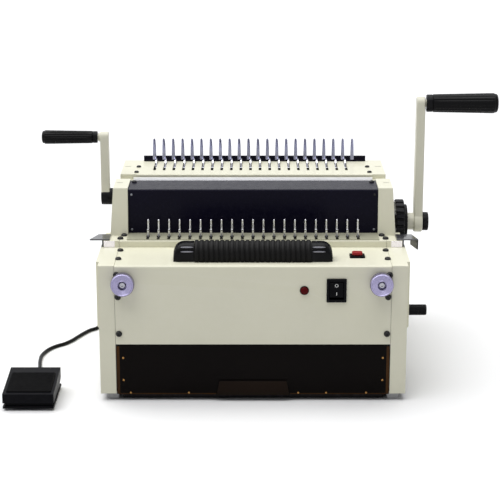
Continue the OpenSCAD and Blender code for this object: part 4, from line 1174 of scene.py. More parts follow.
@dataclass(frozen=True)
class Housing:
    """Painted sheet metal, its screws, the feet and the rear panel's parts.

    Attributes:
        cover_screws: place on the right, direction and head of the screws on both sides.
        head_screws: x, and heights, of the small screws in the black cover's front.
        head_screw: diameter and height of their heads.
        bright_below: height below which those on the right are bare, as all on the left are.
        feet: front edge of each pair of feet, and the face that they stand inside of.
        foot_half: half width and half depth of a foot.
        foot_taper: height, and how far the foot is drawn in there.
        pedal_x: the pedal's middle.
        pedal_feet: half the spread of the pedal's feet, and their places along Y.
        slots: x from and to, y and z of the dash-shaped slots, which get matt black blocks as
            painted shade.
        leaf: corners of a wing bracket's bare leaf.
        gap_shade: corners of the black strip under the drawer, painted shade of the gap above the
            floor.
    """

    cover_screws: tuple[tuple[Point, Facing, Pair], ...] = (
        ((178.0, 0.0, 174.0), Facing.FRONT, LARGE_HEAD),
        ((176.5, 0.0, 144.0), Facing.FRONT, LARGE_HEAD),
        ((176.0, 0.0, 93.5), Facing.FRONT, LARGE_HEAD),
        ((178.0, 74.0, DECK_Z), Facing.UP, LARGE_HEAD),
        ((177.5, 32.0, DECK_Z), Facing.UP, LARGE_HEAD),
        ((176.0, 118.5, STATION_Z), Facing.UP, LARGE_HEAD),
        ((180.0, 102.0, STATION_Z), Facing.UP, LARGE_HEAD),
        ((171.0, 352.0, REAR_Z), Facing.UP, SMALL_HEAD),
        ((172.0, 316.0, REAR_Z), Facing.UP, SMALL_HEAD),
        ((165.0, 176.0, HEAD_Z), Facing.UP, SMALL_HEAD),
        ((172.6, BODY_D, 24.0), Facing.BACK, SMALL_HEAD),
        ((172.6, BODY_D, 183.0), Facing.BACK, SMALL_HEAD),
        ((HALF_W, 40.0, 40.0), Facing.OUT, LARGE_HEAD),
        ((TOWER_HALF, 200.0, 40.0), Facing.OUT, LARGE_HEAD),
        ((TOWER_HALF, 360.0, 40.0), Facing.OUT, LARGE_HEAD),
    )
    head_screws: tuple[float, Pair] = (166.0, (STATION_Z + 6, HEAD_Z - 7))
    head_screw: Pair = (3.4, 1.0)
    bright_below: float = 220.0
    feet: tuple[Pair, ...] = ((6.2, 199.6), (364.0, 192.6))
    foot_half: Pair = (8.5, 15.0)
    foot_taper: tuple[Pair, ...] = ((0.0, 1.4), (1.0, 0.9), (8.6, 0.1), (9.0, 0.0), (11.0, 0.0))
    pedal_x: float = -293.5
    pedal_feet: tuple[float, Pair] = (24.5, (-29.0, 34.0))
    slots: tuple[tuple[float, float, float, float], ...] = (
        (180.0, 188.5, 164.0, 257.9), (183.0, 192.0, 357.0, 237.9),
    )
    leaf: tuple[Point, Point] = (
        (187.0, 91.6, DECK_Z + 0.4), (201.6, 92.1, STATION_Z - 0.5),
    )
    gap_shade: tuple[Point, Point] = ((-173.0, 9.0, 0.8), (173.0, 10.5, 8.6))

    def build(self, shop: Workshop) -> None:
        """Builds the covers and everything fixed to them.

        Args:
            shop: the workshop.
        """
        cream, black = Skin.CREAM_POWDER_COAT, Skin.BLACK_POWDER_COAT
        shop.dress("front_cover", cream, 0.35, [(0, DECK_Z, 2.6), (92, STATION_Z, 2.0)])
        for side in ("left", "right"):
            shop.dress(f"side_cover_{side}", cream, 0.9)
            shop.dress(f"end_housing_{side}", cream, 0.8)
            shop.dress(f"side_frame_{side}", Skin.GROUND_TOOL_STEEL, 0.4)
        shop.dress("comb_plate", Skin.GREY_POWDER_COAT, 0.2)
        shop.dress("head_cover", black, 0.25, [(HEAD_Y, HEAD_Z, 2.4), (188, HEAD_Z, 2.2)])
        shop.dress("throat_deck", Skin.ZINC_PLATED_SHEET, 0.2)
        shop.dress("rear_deck", cream, 0.3, [(303.5, REAR_Z, 1.6)])
        shop.dress("rear_cover", cream, 0.3)
        shop.dress("base_plate", black, 0.5)
        shop.dress("page_plate", black, 0.3)
        shop.dress("power_inlet", Skin.BLACK_NYLON, 0.6)
        shop.dress("paper_wing_left", Skin.BLACK_GLOSS_ENAMEL, 0.5)
        shop.dress("paper_wing_right", Skin.BLACK_GLOSS_ENAMEL, 1.1)
        self.screws(shop)
        self.rubber_feet(shop)
        self.trim(shop)

    def trim(self, shop: Workshop) -> None:
        """Builds matt black blocks as painted shade in the slots, the wing brackets' bare leaves
        and a black strip as painted shade under the drawer.

        Args:
            shop: the workshop.
        """
        # Painted shade: matt black blocks fill the slots where their inside would be in shadow.
        painted_slot_shade = Form()
        for x0, x1, y, z in self.slots:
            painted_slot_shade.block_pair((x0, y - 1.0, z - 0.7), (x1, y + 1.0, z + 0.7))
        shop.piece("slot_shades", painted_slot_shade, Skin.MATT_BLACK)
        leaves = Form().block_pair(*self.leaf)
        shop.piece("wing_bracket_leaves", leaves, Skin.ROLLED_STEEL, bevel=0.1)
        # Painted shade: a black strip fills the dark gap between the drawer and the floor.
        shop.piece("base_skirt", Form().block(*self.gap_shade), Skin.BLACK_ABS)

    def screws(self, shop: Workshop) -> None:
        """Builds the cover screws, each with its socket at a turn of its own.

        Args:
            shop: the workshop.
        """
        turns = iter(np.random.default_rng(7).uniform(0, math.pi / 3, 80))
        black, bright = Form(), Form()
        for side in SIDES:
            for (x, y, z), facing, head in self.cover_screws:
                black.screw((side * x, y, z), facing, head, next(turns), side)
            x, heights = self.head_screws
            for z in heights:
                form = bright if side < 0 or z < self.bright_below else black
                form.screw((side * x, HEAD_Y, z), Facing.FRONT, self.head_screw, next(turns))
        shop.piece(
            "cover_screws_black", black, Skin.BLACKENED_STEEL, replaces=["cover_screws"]
        )
        shop.piece(
            "cover_screws_bright", bright, Skin.GROUND_TOOL_STEEL, replaces=["cover_screws"]
        )

    def rubber_feet(self, shop: Workshop) -> None:
        """Builds the feet: rounded blocks, drawn in a little towards the floor.

        Args:
            shop: the workshop.
        """
        form = Form()
        half = np.array(self.foot_half)
        spread, places = self.pedal_feet
        for side in SIDES:
            for front, face in self.feet:
                middle = np.array((side * (face - half[0] - 5.0), front + half[1]))
                top = rounded(rectangle(*(middle - half), *(middle + half)), 2.0)
                form.layers(Axis.Z, [
                    (middle + (top - middle) * (1 - inset / half), z)
                    for z, inset in self.foot_taper
                ])
            for y in places:
                form.lathe(Axis.Z, (self.pedal_x + side * spread, y, 0.0),
                           [(3.9, 0.0), (4.5, 0.5), (4.5, 3.0)], 28)
        shop.piece("feet_rubber", form, Skin.GREY_RUBBER, replaces=["feet"])


@dataclass(frozen=True)
class Drawer:
    """Smoked acrylic chip drawer with its pull tab and small screws.

    Attributes:
        low_screws: the screws along the lower edge.
        low_z: their height.
        side_screws: x and heights of the screws near both sides.
        side_edge: corners of the lit edge on the right.
        low_edge: corners of the lit lower edge.
        tab: outline of the pull tab's face.
        tab_face: where that face starts and ends along Y.
    """

    low_screws: tuple[float, ...] = (-162.0, -85.0, 60.0, 97.0, 150.0)
    low_z: float = 11.2
    side_screws: tuple[float, Pair] = (171.2, (29.0, 60.0))
    side_edge: tuple[Point, Point] = ((176.0, -0.12, 9.6), (180.0, 0.1, 76.2))
    low_edge: tuple[Point, Point] = ((-177.0, -0.12, 9.3), (177.0, 0.1, 10.6))
    tab: tuple[Pair, ...] = ((-48.2, 9.4), (48.2, 9.4), (44.4, 28.4), (-44.4, 28.4))
    tab_face: Pair = (-3.12, -2.9)

    def build(self, shop: Workshop) -> None:
        """Builds the drawer.

        Args:
            shop: the workshop.
        """
        shop.dress("chip_drawer", Skin.SMOKED_ACRYLIC, 0.7)
        turns = iter(np.random.default_rng(3).uniform(0, 1, 9))
        screws = Form()
        for x in self.low_screws:
            screws.screw((x, 0, self.low_z), Facing.FRONT, (2.8, 0.7), next(turns))
        side_x, heights = self.side_screws
        for side in SIDES:
            for z in heights:
                screws.screw((side * side_x, 0, z), Facing.FRONT, (3.0, 0.8), next(turns))
        shop.piece(
            "drawer_screws_brass", screws, Skin.TURNED_BRASS, "drawer", ["drawer_screws"]
        )
        edges = Form().block_pair(*self.side_edge).block(*self.low_edge)
        shop.piece("drawer_lit_edges", edges, Skin.ACRYLIC_EDGE, "drawer")
        tab = Form().prism(Axis.Y, rounded(self.tab, 2.0), *self.tab_face)
        shop.piece("drawer_tab_face", tab, Skin.DOUBLED_ACRYLIC, "drawer")


@dataclass(frozen=True)
class FrontStation:
    """Fixed pins and sliding hooks in front of the black cover.

    Attributes:
        pin_y: the pins' row.
        radius: a pin's radius.
        lean: how far a pin's tip leans forwards, in degrees.
        tip: height at which it starts to.
        shade_pad_y: the row of dark pads at the hooks' feet, painted shade of the slots that the
            hooks rise from.
        shade_pad_half: half width and half depth of a pad.
    """

    pin_y: float = HEAD_Y - 11.5
    radius: float = 1.45
    lean: float = 18.0
    tip: float = 18.0
    shade_pad_y: float = 109.4
    shade_pad_half: Pair = (2.4, 4.8)

    def build(self, shop: Workshop) -> None:
        """Builds the pins, the hooks and the dark pads of painted shade at their feet.

        Args:
            shop: the workshop.
        """
        lean = math.radians(self.lean)
        path = [(0.0, 0.0, h) for h in (0.0, 6.0, 12.0, 16.6)] + [(0.0, -0.15, 18.2)]
        path += [
            (0.0, -math.sin(lean) * s, self.tip + math.cos(lean) * s)
            for s in (1.6, 3.4, 4.3, 4.8)
        ]
        radii = np.array((1.0, 1.0, 0.97, 0.95, 0.97, 0.97, 0.9, 0.62, 0.2)) * self.radius
        pins, shade_pads = Form(), Form()
        for x in map(comb_x, range(COMB_TEETH)):
            pins.tube(np.array(path) + (x, self.pin_y, PLATE_Z), radii, 14)
            outline = ellipse(x, self.shade_pad_y, self.shade_pad_half, 24)
            shade_pads.prism(Axis.Z, outline, PLATE_Z + 0.1, PLATE_Z + 0.9)
        shop.piece(
            "front_pins_bright", pins, Skin.DRAWN_STEEL, replaces=["front_pins"], smooth=50
        )
        shop.dress("front_hooks", Skin.POLISHED_STEEL, 0.35)
        # Painted shade: dark pads on the comb plate stand for the shade in the slots at the
        # hooks' feet.
        shop.piece("front_hook_wipers", shade_pads, Skin.BLACK_ABS, "front_hook_bar")


@dataclass(frozen=True)
class RearStation:
    """Tall fingers that hold the sheets, their bar and the pulling hooks.

    Attributes:
        height: a finger's height.
        base_y: front of the fingers.
        thick: their thickness.
        shift: how far a finger stands beside its tooth.
        bar: x from and to of the bar.
        contour: a finger's outline, half width by share of the height.
    """

    height: float = 35.5
    base_y: float = 392.0
    thick: float = 1.4
    shift: float = -6.7
    bar: Pair = (-164.0, 169.0)
    contour: tuple[Pair, ...] = (
        (-2.7, 0.0), (2.7, 0.0), (2.6, 0.3), (2.35, 0.6), (1.7, 0.93), (0.6, 0.985),
        (-0.7, 1.0), (-1.8, 0.95), (-2.35, 0.6), (-2.6, 0.3),
    )

    def build(self, shop: Workshop) -> None:
        """Builds the bar, the fingers and the hooks.

        Args:
            shop: the workshop.
        """
        back = self.base_y + self.thick
        bar = Form().block((self.bar[0], self.base_y, REAR_Z), (self.bar[1], back, REAR_Z + 3))
        shop.piece("rear_finger_bar", bar, Skin.BLACK_POWDER_COAT, replaces=["rear_fingers"],
                   bevel=0.2)
        fingers = Form()
        contour = np.array(self.contour) * (1.0, self.height)
        for tooth in range(COMB_TEETH + 1):
            foot = (comb_x(tooth, self.shift), REAR_Z)
            fingers.layers(Axis.Y, [
                (foot + contour * (share, 0.992 + 0.008 * share), self.base_y + y)
                for y, share in ((0.0, 0.82), (0.25, 1.0), (1.15, 1.0), (self.thick, 0.82))
            ])
        shop.piece("rear_fingers_chrome", fingers, Skin.CHROME_PLATED_STEEL,
                   replaces=["rear_fingers"])
        shop.dress("rear_hooks", Skin.DRAWN_STEEL, 0.4)


@dataclass(frozen=True)
class Controls:
    """Knurled knobs, pilot lamp, rocker switch, push button, dial and margin knob.

    Attributes:
        knobs: x of the knurled knobs.
        knob_z: their height.
        knob_gap: how far they stand off the panel.
        knurls: how many there are round a knob.
        lamp_place: middle of the pilot lamp on the panel.
        pivot: the rocker's pivot.
        rocker_half: half the rocker's width.
        rocker_tilt: how far the rocker leans at rest, in degrees.
        button_place: middle of the push button.
        dial_place: the dial's face next to the housing, on its axis.
        dial_flutes: how many there are round the dial.
        margin_place: a point on the margin knob's axis.
    """

    knobs: tuple[tuple[str, float], ...] = (("left", -169.4), ("right", 167.0))
    knob_z: float = 163.6
    knob_gap: float = 3.4
    knurls: int = 52
    lamp_place: Point = (67.0, 0.0, 153.0)
    pivot: Point = (109.0, 8.0, 153.0)
    rocker_half: float = 9.0
    rocker_tilt: float = -7.0
    button_place: Pair = (138.0, 45.0)
    dial_place: Point = (200.0, 195.0, 196.0)
    dial_flutes: int = 20
    margin_place: Point = (0.0, 62.0, 107.0)

    def build(self, shop: Workshop) -> None:
        """Builds the controls.

        Args:
            shop: the workshop.
        """
        for name, x in self.knobs:
            self.knob(shop, x, name)
        self.lamp(shop)
        self.switch(shop)
        self.button(shop)
        self.dial(shop)
        self.margin(shop)

    def knurl(self, radius: np.ndarray, along: np.ndarray, angle: np.ndarray) -> np.ndarray:
        """Radii of a knob: its rim falls and rises in straight lines, once for each knurl.

        Args:
            radius: radii before knurling.
            along: places along Y.
            angle: angles round the knob.

        Returns:
            The knurled radii.
        """
        depth = -along - self.knob_gap
        rim = (depth > 0.8) & (depth < 11.4) & (radius > 15)
        wave = np.abs((angle * self.knurls / (2 * math.pi)) % 1 - 0.5) * 2
        return radius - 0.7 * wave * rim

    def knob(self, shop: Workshop, x: float, name: str) -> None:
        """Turned knob with a knurled rim, rings in its face and a recessed socket screw.

        Args:
            shop: the workshop.
            x: the knob's place along X.
            name: left or right.
        """
        disc = [(14.7, 0.0), (15.45, 0.9)]
        disc += [(15.5, t) for t in (1.6, 3.8, 6.0, 8.2, 10.4)]
        disc += [(15.1, 11.1), (14.2, 11.85), (13.6, 12.0), (13.0, 11.95), (12.6, 11.5)]
        for r in (11.4, 10.2, 9.0, 7.8):
            disc += [(r + 0.35, 11.5), (r + 0.2, 11.38), (r, 11.5)]
        disc += [(6.9, 11.5), (6.2, 12.0), (5.8, 11.8), (5.5, 11.0), (5.5, 6.0), (0.2, 6.0)]
        profile = [(7.5, -0.3), (7.5, -self.knob_gap)]
        profile += [(r, -self.knob_gap - t) for r, t in disc]
        form = Form().lathe(Axis.Y, (x, 0.0, self.knob_z), profile, 4 * self.knurls, self.knurl)
        body = f"knob_{name}"
        shop.piece(f"{body}_knurled", form, Skin.PASSIVATED_STEEL, body, [body])
        screw = Form().screw((x, -10.4, self.knob_z), Facing.FRONT, (9.4, 3.4), 0.4)
        shop.piece(f"{body}_screw", screw, Skin.TUMBLED_STEEL, body)

    def lamp(self, shop: Workshop) -> None:
        """Domed red lens in its ring: the dome's profile is part of an ellipse.

        Args:
            shop: the workshop.
        """
        ring = [(4.9, 15.0), (4.9, 0.0), (6.0, 0.0), (6.0, -1.0), (5.6, -1.6), (5.2, -1.6),
                (5.1, -0.6), (0.3, -0.4)]
        shop.piece("lamp_ring", Form().lathe(Axis.Y, self.lamp_place, ring), Skin.BLACK_NYLON,
                   replaces=["pilot_lamp"])
        dome = [(5.1, -0.5), (5.1, -1.6)]
        dome += [(5.1 * math.cos(a), -1.6 - 2.9 * math.sin(a)) for a in np.linspace(0.15, 1.5, 9)]
        shop.piece("lamp_lens", Form().lathe(Axis.Y, self.lamp_place, dome),
                   Skin.RED_POLYCARBONATE, smooth=60)

    def tilted(self, points: np.ndarray) -> np.ndarray:
        """Turns points of the level rocker about its pivot, to where it rests.

        Args:
            points: x in the machine's frame, y and z from the pivot.

        Returns:
            The points in the machine's frame.
        """
        tilt = math.radians(self.rocker_tilt)
        x, y, z = points.T
        return np.stack([
            x,
            self.pivot[1] + y * math.cos(tilt) - z * math.sin(tilt),
            self.pivot[2] + y * math.sin(tilt) + z * math.cos(tilt),
        ], -1)

    def switch(self, shop: Workshop) -> None:
        """Rocker switch with a hollow face and its round and straight marks.

        Args:
            shop: the workshop.
        """
        shop.dress("switch_bezel", Skin.BLACK_NYLON, 0.8)
        middle, half = self.pivot[0], self.rocker_half
        hollow = [(-8.4 - 2.0 * abs(z / 9.4) ** 1.6, z) for z in np.linspace(-9.4, 9.4, 15)]
        face = [(-8.6, -10.0), (-10.4, -10.0), *hollow, (-10.4, 10.0), (-8.6, 10.0),
                (-1.5, 5.0), (5.5, 0.0), (-1.5, -5.0)]
        cap = Form().prism(Axis.X, face, middle - half, middle + half).move(self.tilted)
        shop.piece("rocker_cap", cap, Skin.BLACK_NYLON, "rocker", ["rocker"], bevel=0.5,
                   smooth=50)
        x, z = ellipse(middle, 5.4, (1.9, 1.9), 28).T
        ring = np.stack([x, -9.35 - 0.55 * (z - 5.4) / 3, z], -1)
        marks = Form().tube(np.concatenate([ring, ring[:1]]), 0.42, 8)
        marks.block((middle - 0.4, -9.75, -7.4), (middle + 0.4, -9.15, -3.4)).move(self.tilted)
        shop.piece("rocker_marks", marks, Skin.WHITE_PRINT, "rocker")

    def button(self, shop: Workshop) -> None:
        """Red push button in its black bezel, with its stem.

        Args:
            shop: the workshop.
        """
        shop.dress("button_bezel", Skin.BLACK_NYLON, 0.7)
        cap = Form().layers(Axis.Z, [
            (rounded(rectangle(-a, -b, a, b), 2.2, 6) + self.button_place, z)
            for z, a, b in ((189.6, 7.0, 5.0), (191.6, 7.0, 5.0), (192.6, 6.7, 4.7),
                            (193.0, 6.0, 4.0))
        ])
        cap.lathe(Axis.Z, (*self.button_place, 0.0), [(4.2, 176.0), (4.2, 189.8)], 24)
        shop.piece("button_cap", cap, Skin.RED_ABS, "push_button", ["push_button"])

    def fluted(self, radius: np.ndarray, along: np.ndarray, angle: np.ndarray) -> np.ndarray:
        """Radii of the dial: its rim dips where the cosine of the flutes is above 0.

        Args:
            radius: radii before fluting.
            along: places along X, not used.
            angle: angles round the dial.

        Returns:
            The fluted radii.
        """
        dip = 2.2 * np.clip(np.cos(angle * self.dial_flutes), 0, 1) ** 0.8
        return radius - dip * (radius > 29)

    def dial(self, shop: Workshop) -> None:
        """Fluted comb size dial on the right crank's bush, as a closed ring.

        Args:
            shop: the workshop.
        """
        profile = [(9.1, 0.0), (30.0, 0.0), (31.0, 0.8), (31.0, 10.8), (30.2, 11.9),
                   (27.5, 12.3), (24.4, 12.4), (24.0, 12.8), (24.0, 15.7), (23.4, 16.4),
                   (14.0, 16.4), (13.5, 16.1), (9.1, 16.1)]
        form = Form().lathe(Axis.X, self.dial_place, profile, 240, self.fluted, Ends.JOINED)
        shop.piece("size_dial_fluted", form, Skin.PHENOLIC_RESIN, "size_dial", ["size_dial"])

    @staticmethod
    def grooved(radius: np.ndarray, along: np.ndarray, angle: np.ndarray) -> np.ndarray:
        """Radii of the margin knob: square grooves along its grip.

        Args:
            radius: radii before grooving.
            along: places along X.
            angle: angles round the knob.

        Returns:
            The grooved radii.
        """
        grip = (radius > 7) & (along > 209) & (along < 231)
        return radius - 0.35 * (np.cos(angle * 24) > 0.2) * grip

    def margin(self, shop: Workshop) -> None:
        """Round margin knob on the right side, with fine grooves.

        Args:
            shop: the workshop.
        """
        profile = [(4.0, 186.0), (4.0, 206.5), (6.6, 206.5), (7.25, 207.2), (7.25, 208.9),
                   (7.25, 209.1), (7.25, 230.9), (7.25, 231.1), (7.2, 232.4), (6.4, 233.4),
                   (5.4, 233.5), (0.2, 233.2)]
        form = Form().lathe(Axis.X, self.margin_place, profile, 96, self.grooved)
        shop.piece("margin_knob_fluted", form, Skin.PHENOLIC_RESIN, "margin_knob",
                   ["margin_knob"])


@dataclass(frozen=True)
class CarryHandle:
    """Ribbed strap handle between two end caps.

    Attributes:
        half: half its length over the caps.
        cap: a cap's length.
        middle: its place along Y.
        radius: of the sleeve's arch.
        axis_height: height of the arch's axis above the deck.
        ribs: how many the sleeve has.
        groove: how deep the sleeve is between them.
        core: corners of the stiff core inside.
        top: a cap's height.
        corner: radius of a cap's outer corner.
        crown: radius of its shoulders.
        cap_half: half a cap's depth.
        tongue: half the depth of the pocket for the core.
        pocket: how far that pocket reaches into the cap.
    """

    half: float = 104.5
    cap: float = 27.0
    middle: float = 34.0
    radius: float = 18.5
    axis_height: float = 7.3
    ribs: int = 23
    groove: float = 1.5
    core: tuple[Point, Point] = ((-91.5, 27.0, 189.0), (91.5, 41.0, 192.5))
    top: float = 23.3
    corner: float = 14.0
    crown: float = 10.0
    cap_half: float = 15.0
    tongue: float = 7.4
    pocket: float = 16.0

    def build(self, shop: Workshop) -> None:
        """Builds the sleeve, the caps and their painted highlight lines.

        Args:
            shop: the workshop.
        """
        self.sleeve(shop)
        for side, name in zip(SIDES, ("left", "right")):
            self.end_cap(shop, side, name)
            self.cap_highlights(shop, side, name)

    def section(self) -> np.ndarray:
        """Cross-section of the sleeve: half a circle on straight sides with round feet.

        Returns:
            Points (y, z) from the handle's middle, z above the deck.
        """
        angle = np.linspace(math.pi, 0, 25)
        r = self.radius
        arch = np.stack([r * np.cos(angle), self.axis_height + r * np.sin(angle)], -1)
        return np.concatenate([arch, [(r, 4.0), (r - 0.3, 1.2), (r - 1.6, 0.6), (1.6 - r, 0.6),
                                      (0.3 - r, 1.2), (-r, 4.0)]])

    def sleeve(self, shop: Workshop) -> None:
        """Sleeve on its core: the cross-section, drawn in between the ribs.

        Args:
            shop: the workshop.
        """
        half = self.half - self.cap - 0.6
        pitch = 2 * half / self.ribs
        place, lift = np.array((
            (0.06, 0.3), (0.16, 0.75), (0.32, 1.0), (0.52, 1.0), (0.68, 0.75), (0.8, 0.3),
            (0.86, 0.0), (0.97, 0.0),
        )).T
        starts = -half + np.arange(self.ribs)[:, None] * pitch
        xs = np.array([-half, *(starts + place * pitch).ravel(), half])
        lifts = np.array([0.0, *np.tile(lift, self.ribs), 0.0])
        section = self.section()
        outward = section - np.array((0.0, self.axis_height))
        outward /= np.linalg.norm(outward, axis=1)[:, None]
        outward[section[:, 1] < 2.5] *= (1.0, 0.0)
        drawn = section - outward * self.groove * (1 - lifts)[:, None, None]
        y, z = self.middle + drawn[..., 0], DECK_Z + drawn[..., 1]
        form = Form().loft(Axis.X.stack(y, z, xs[:, None])).block(*self.core)
        shop.piece("handle_strap", form, Skin.BLACK_RUBBER, "handle_grip", ["handle_grip"],
                   smooth=28)

    def cap_outline(self, x: float) -> np.ndarray:
        """Outline of a cap across X: a box with round shoulders and, inside, the pocket.

        The top falls along the outer corner's circle, and the sides draw in by the square
        of the way into the last 6 mm.

        Args:
            x: distance from the handle's middle.

        Returns:
            Points (y, z), z above the deck.
        """
        past = max(0.0, x - self.half + self.corner)
        height = self.top - self.corner + math.sqrt(max(0.0, self.corner**2 - past**2))
        half = self.cap_half - 2.2 * (max(0.0, x - self.half + 6) / 6) ** 2
        r = min(self.crown, height - 0.5)
        depth = 19.0 if x <= self.half - self.cap + self.pocket else 0.1
        quarter = np.linspace(0, math.pi / 2, 8)
        far, near = r * (1 - np.sin(quarter)), r * (1 - np.cos(quarter))
        y0, y1 = self.middle - half, self.middle + half
        front = np.stack([y0 + near, height - far], -1)
        back = np.stack([y1 - far, height - near], -1)
        slot0, slot1 = self.middle - self.tongue, self.middle + self.tongue
        return np.concatenate([
            [(y0, 0.0)], front, back,
            [(y1, 0.0), (slot1, 0.0), (slot1, depth), (slot0, depth), (slot0, 0.0)],
        ])

    def end_cap(self, shop: Workshop, side: int, name: str) -> None:
        """End cap with a rounded crown and outer corner.

        Args:
            shop: the workshop.
            side: -1 on the left, 1 on the right.
            name: left or right.
        """
        inner = self.half - self.cap
        steps = [inner, inner + 6.0, inner + 12.9, inner + 13.0, inner + self.pocket,
                 inner + self.pocket + 0.1]
        steps += [self.half - self.corner * (1 - math.sin(a))
                  for a in np.linspace(0.25, math.pi / 2, 10)]
        form = Form().layers(
            Axis.X, [(self.cap_outline(x) + (0.0, DECK_Z), side * x) for x in steps]
        )
        shop.piece(f"handle_cap_{name}", form, Skin.BLACK_ABS, replaces=["handle_caps"],
                   smooth=50)

    def cap_highlights(self, shop: Workshop, side: int, name: str) -> None:
        """Two raised lines along the front of an end cap, pale grey as painted highlights.

        Args:
            shop: the workshop.
            side: -1 on the left, 1 on the right.
            name: left or right.
        """
        form = Form()
        x = side * np.linspace(self.half - self.cap + 0.5, self.half - 9.5, 8)
        radii = np.array((0.2, 0.8, 1.0, 1.0, 1.0, 1.0, 0.8, 0.2))
        for y, z in ((21.0, 205.4), (19.2, 199.8)):
            form.tube(np.stack([x, np.full(8, y), np.full(8, z)], -1), radii, 8)
        shop.piece(f"handle_cap_lines_{name}", form, Skin.RUBBED_ABS)


@dataclass(frozen=True)
class Grip:
    """Moulded grip with lengthwise ribs between a collar and a rounded end.

    Attributes:
        name: left or right.
        side: -1 on the left, 1 on the right.
        start: where it starts along X.
        length: its length.
        diameter: its largest diameter.
        taper: how much less its radius is at the collar.
        axis: (y, z) of its axis.
        ribbed: where its ribs start and end, as shares of the length.
    """

    name: str
    side: int
    start: float
    length: float
    diameter: float
    taper: float
    axis: Pair
    ribbed: Pair = (0.1, 0.94)

    def ribs(self, radius: np.ndarray, along: np.ndarray, angle: np.ndarray) -> np.ndarray:
        """Radii with 18 grooves, cosines to the power 1.5 that fade out at both ends.

        Args:
            radius: radii before ribbing.
            along: places along X.
            angle: angles round the grip.

        Returns:
            The ribbed radii.
        """
        share = np.abs(along - self.start) / self.length
        first, last = self.ribbed
        fade = np.clip(np.minimum(share - first, last - share) / 0.03, 0, 1)
        return radius - 0.7 * fade * (0.5 - 0.5 * np.cos(angle * 18)) ** 1.5

    def build(self, shop: Workshop) -> None:
        """Builds the grip, turned from its collar to its end.

        Args:
            shop: the workshop.
        """
        outer = self.diameter / 2
        inner = outer - self.taper
        collar = inner - 0.4
        shaft = np.linspace(0.12, 0.92, 14)
        shares = [0.0, 0.004, 0.02, 0.078, 0.083, 0.088, 0.095, *shaft,
                  0.945, 0.952, 0.958, 0.978, 0.99, 0.998, 1.0]
        radii = [collar - 0.9, collar - 0.2, collar, collar, collar - 0.5, collar - 0.5, inner,
                 *(inner + self.taper * (shaft - 0.12) / 0.8),
                 outer - 0.1, outer - 0.8, outer - 0.9, outer - 1.1, outer - 2.2, outer - 4.0,
                 0.3]
        profile = [(r, self.start + self.side * self.length * s) for r, s in zip(radii, shares)]
        form = Form().lathe(Axis.X, (0.0, *self.axis), profile, 108, self.ribs)
        body = f"{self.name}_grip"
        shop.piece(f"{body}_ribbed", form, Skin.PHENOLIC_RESIN, body, [body], smooth=40)


@dataclass(frozen=True)
class Cranks:
    """Left and right crank: arms, hubs and turning grips.

    Attributes:
        grips: both grips.
        left_axis: a point on the left crank's axis.
        hub: radius and place along X of the left hub's shell.
    """

    grips: tuple[Grip, ...] = (
        Grip("right", 1, 240.1, 99.0, 28.0, 1.5, (195.0, 364.6)),
        Grip("left", -1, -226.0, 81.0, 20.0, 1.0, (295.0, 296.5)),
    )
    left_axis: Point = (0.0, 295.0, 208.0)
    hub: tuple[Pair, ...] = (
        (9.0, -205.6), (11.8, -205.6), (12.2, -206.1), (12.2, -219.8), (11.7, -221.3),
        (10.4, -222.3), (8.0, -222.7), (0.2, -222.8),
    )

    def build(self, shop: Workshop) -> None:
        """Builds both cranks.

        Args:
            shop: the workshop.
        """
        shop.dress("right_arm", Skin.CREAM_ENAMEL, 1.6)
        shop.dress("left_arm", Skin.CREAM_ENAMEL, 1.6)
        shop.dress("right_cap", Skin.PHENOLIC_RESIN, 1.5)
        shop.dress("crank_bushes", Skin.SINTERED_BRONZE, 0.4)
        shop.dress("right_crank_shaft", Skin.CREAM_ENAMEL, 0.2)
        shop.dress("left_crank_shaft", Skin.PHENOLIC_RESIN, 0.8)
        hub = Form().lathe(Axis.X, self.left_axis, self.hub, 64)
        shop.piece("left_hub_shell", hub, Skin.PHENOLIC_RESIN, "left_crank", smooth=50)
        for grip in self.grips:
            grip.build(shop)


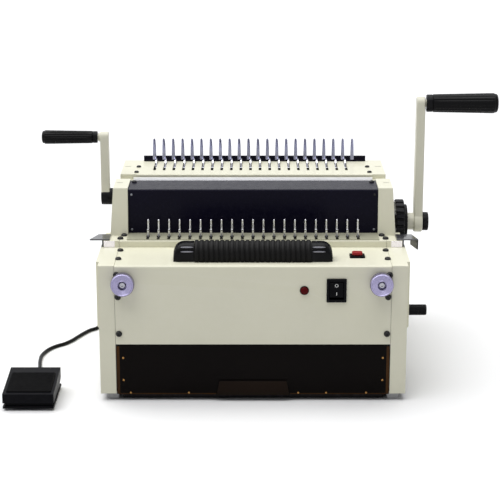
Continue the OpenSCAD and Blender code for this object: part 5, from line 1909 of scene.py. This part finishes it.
@dataclass(frozen=True)
class Pedal:
    """Foot pedal: tray, hinged treadle and its ribbed rubber pad.

    Attributes:
        x: its middle.
        front: where the treadle's top starts, along Y, and its height there.
        slope: how much that top rises for each mm towards the back.
        pad: front left and rear right corner of the pad, from the pedal's middle.
        ribs: how many the pad has.
    """

    x: float = -293.5
    front: Pair = (-38.0, 23.0)
    slope: float = 8 / 88
    pad: tuple[Pair, Pair] = ((-29.5, -32.0), (29.5, 26.0))
    ribs: int = 26

    def top(self, y: np.ndarray | float) -> np.ndarray | float:
        """Height of the treadle's top at a place along Y."""
        return self.front[1] + (y - self.front[0]) * self.slope

    def build(self, shop: Workshop) -> None:
        """Builds the pedal.

        Args:
            shop: the workshop.
        """
        shop.dress("pedal_base", Skin.GRAINED_ABS, 0.5)
        shop.dress("pedal_treadle", Skin.GRAINED_ABS, 1.3)
        (x0, y0), (x1, y1) = self.pad
        corners = rounded(rectangle(x0, y0, x1, y1), 3.0, 6)
        layers = []
        for lift, inset in ((0.0, 0.0), (1.3, 0.0), (1.65, 0.4)):
            outline = corners * (1 - inset / x1)
            layers.append((outline + (self.x, 0.0), self.top(outline[:, 1]) + lift))
        pad = Form().layers(Axis.Z, layers)
        pitch = (y1 - y0) / self.ribs
        for rib in range(self.ribs):
            y = y0 + (rib + 0.5) * pitch
            line = [(self.x + x, y, self.top(y) + 1.6) for x in (-28.5, -27.5, 27.5, 28.5)]
            pad.tube(np.array(line), np.array((0.2, 0.35, 0.35, 0.2)), 8)
        shop.piece("pedal_pad_ribbed", pad, Skin.SHEET_RUBBER, "treadle", ["pedal_pad"],
                   smooth=50)


# CAD nodes whose own mesh is shown.
REST: dict[str, Skin] = {
    "die_block": Skin.BRUSHED_STEEL, "pin_guide": Skin.GROUND_TOOL_STEEL,
    "punch_ram": Skin.GROUND_TOOL_STEEL, "punch_pins": Skin.DRAWN_STEEL,
    "cam_shaft": Skin.DRAWN_STEEL, "drive_gear": Skin.CUT_BRASS,
    "motor_gear": Skin.CUT_BRASS, "gearmotor": Skin.MATT_BLACK,
    "front_idler": Skin.CUT_BRASS, "control_board": Skin.SOLDER_MASK,
}


def main() -> None:
    """Builds the whole scene and reports each piece."""
    logging.basicConfig(level=logging.INFO)
    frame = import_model()
    studio = Studio()
    studio.camera()
    shop = Workshop(frame)
    for part in (PedalCord(), Housing(), Drawer(), FrontStation(), RearStation(), Controls(),
                 CarryHandle(), Cranks(), Pedal()):
        made = len(shop.pieces)
        part.build(shop)
        for piece in shop.pieces[made:]:
            LOG.info("%s: %s", type(part).__name__, piece.name)
    shop.paint_rest(REST)
    studio.light()


if __name__ == "__main__":
    main()
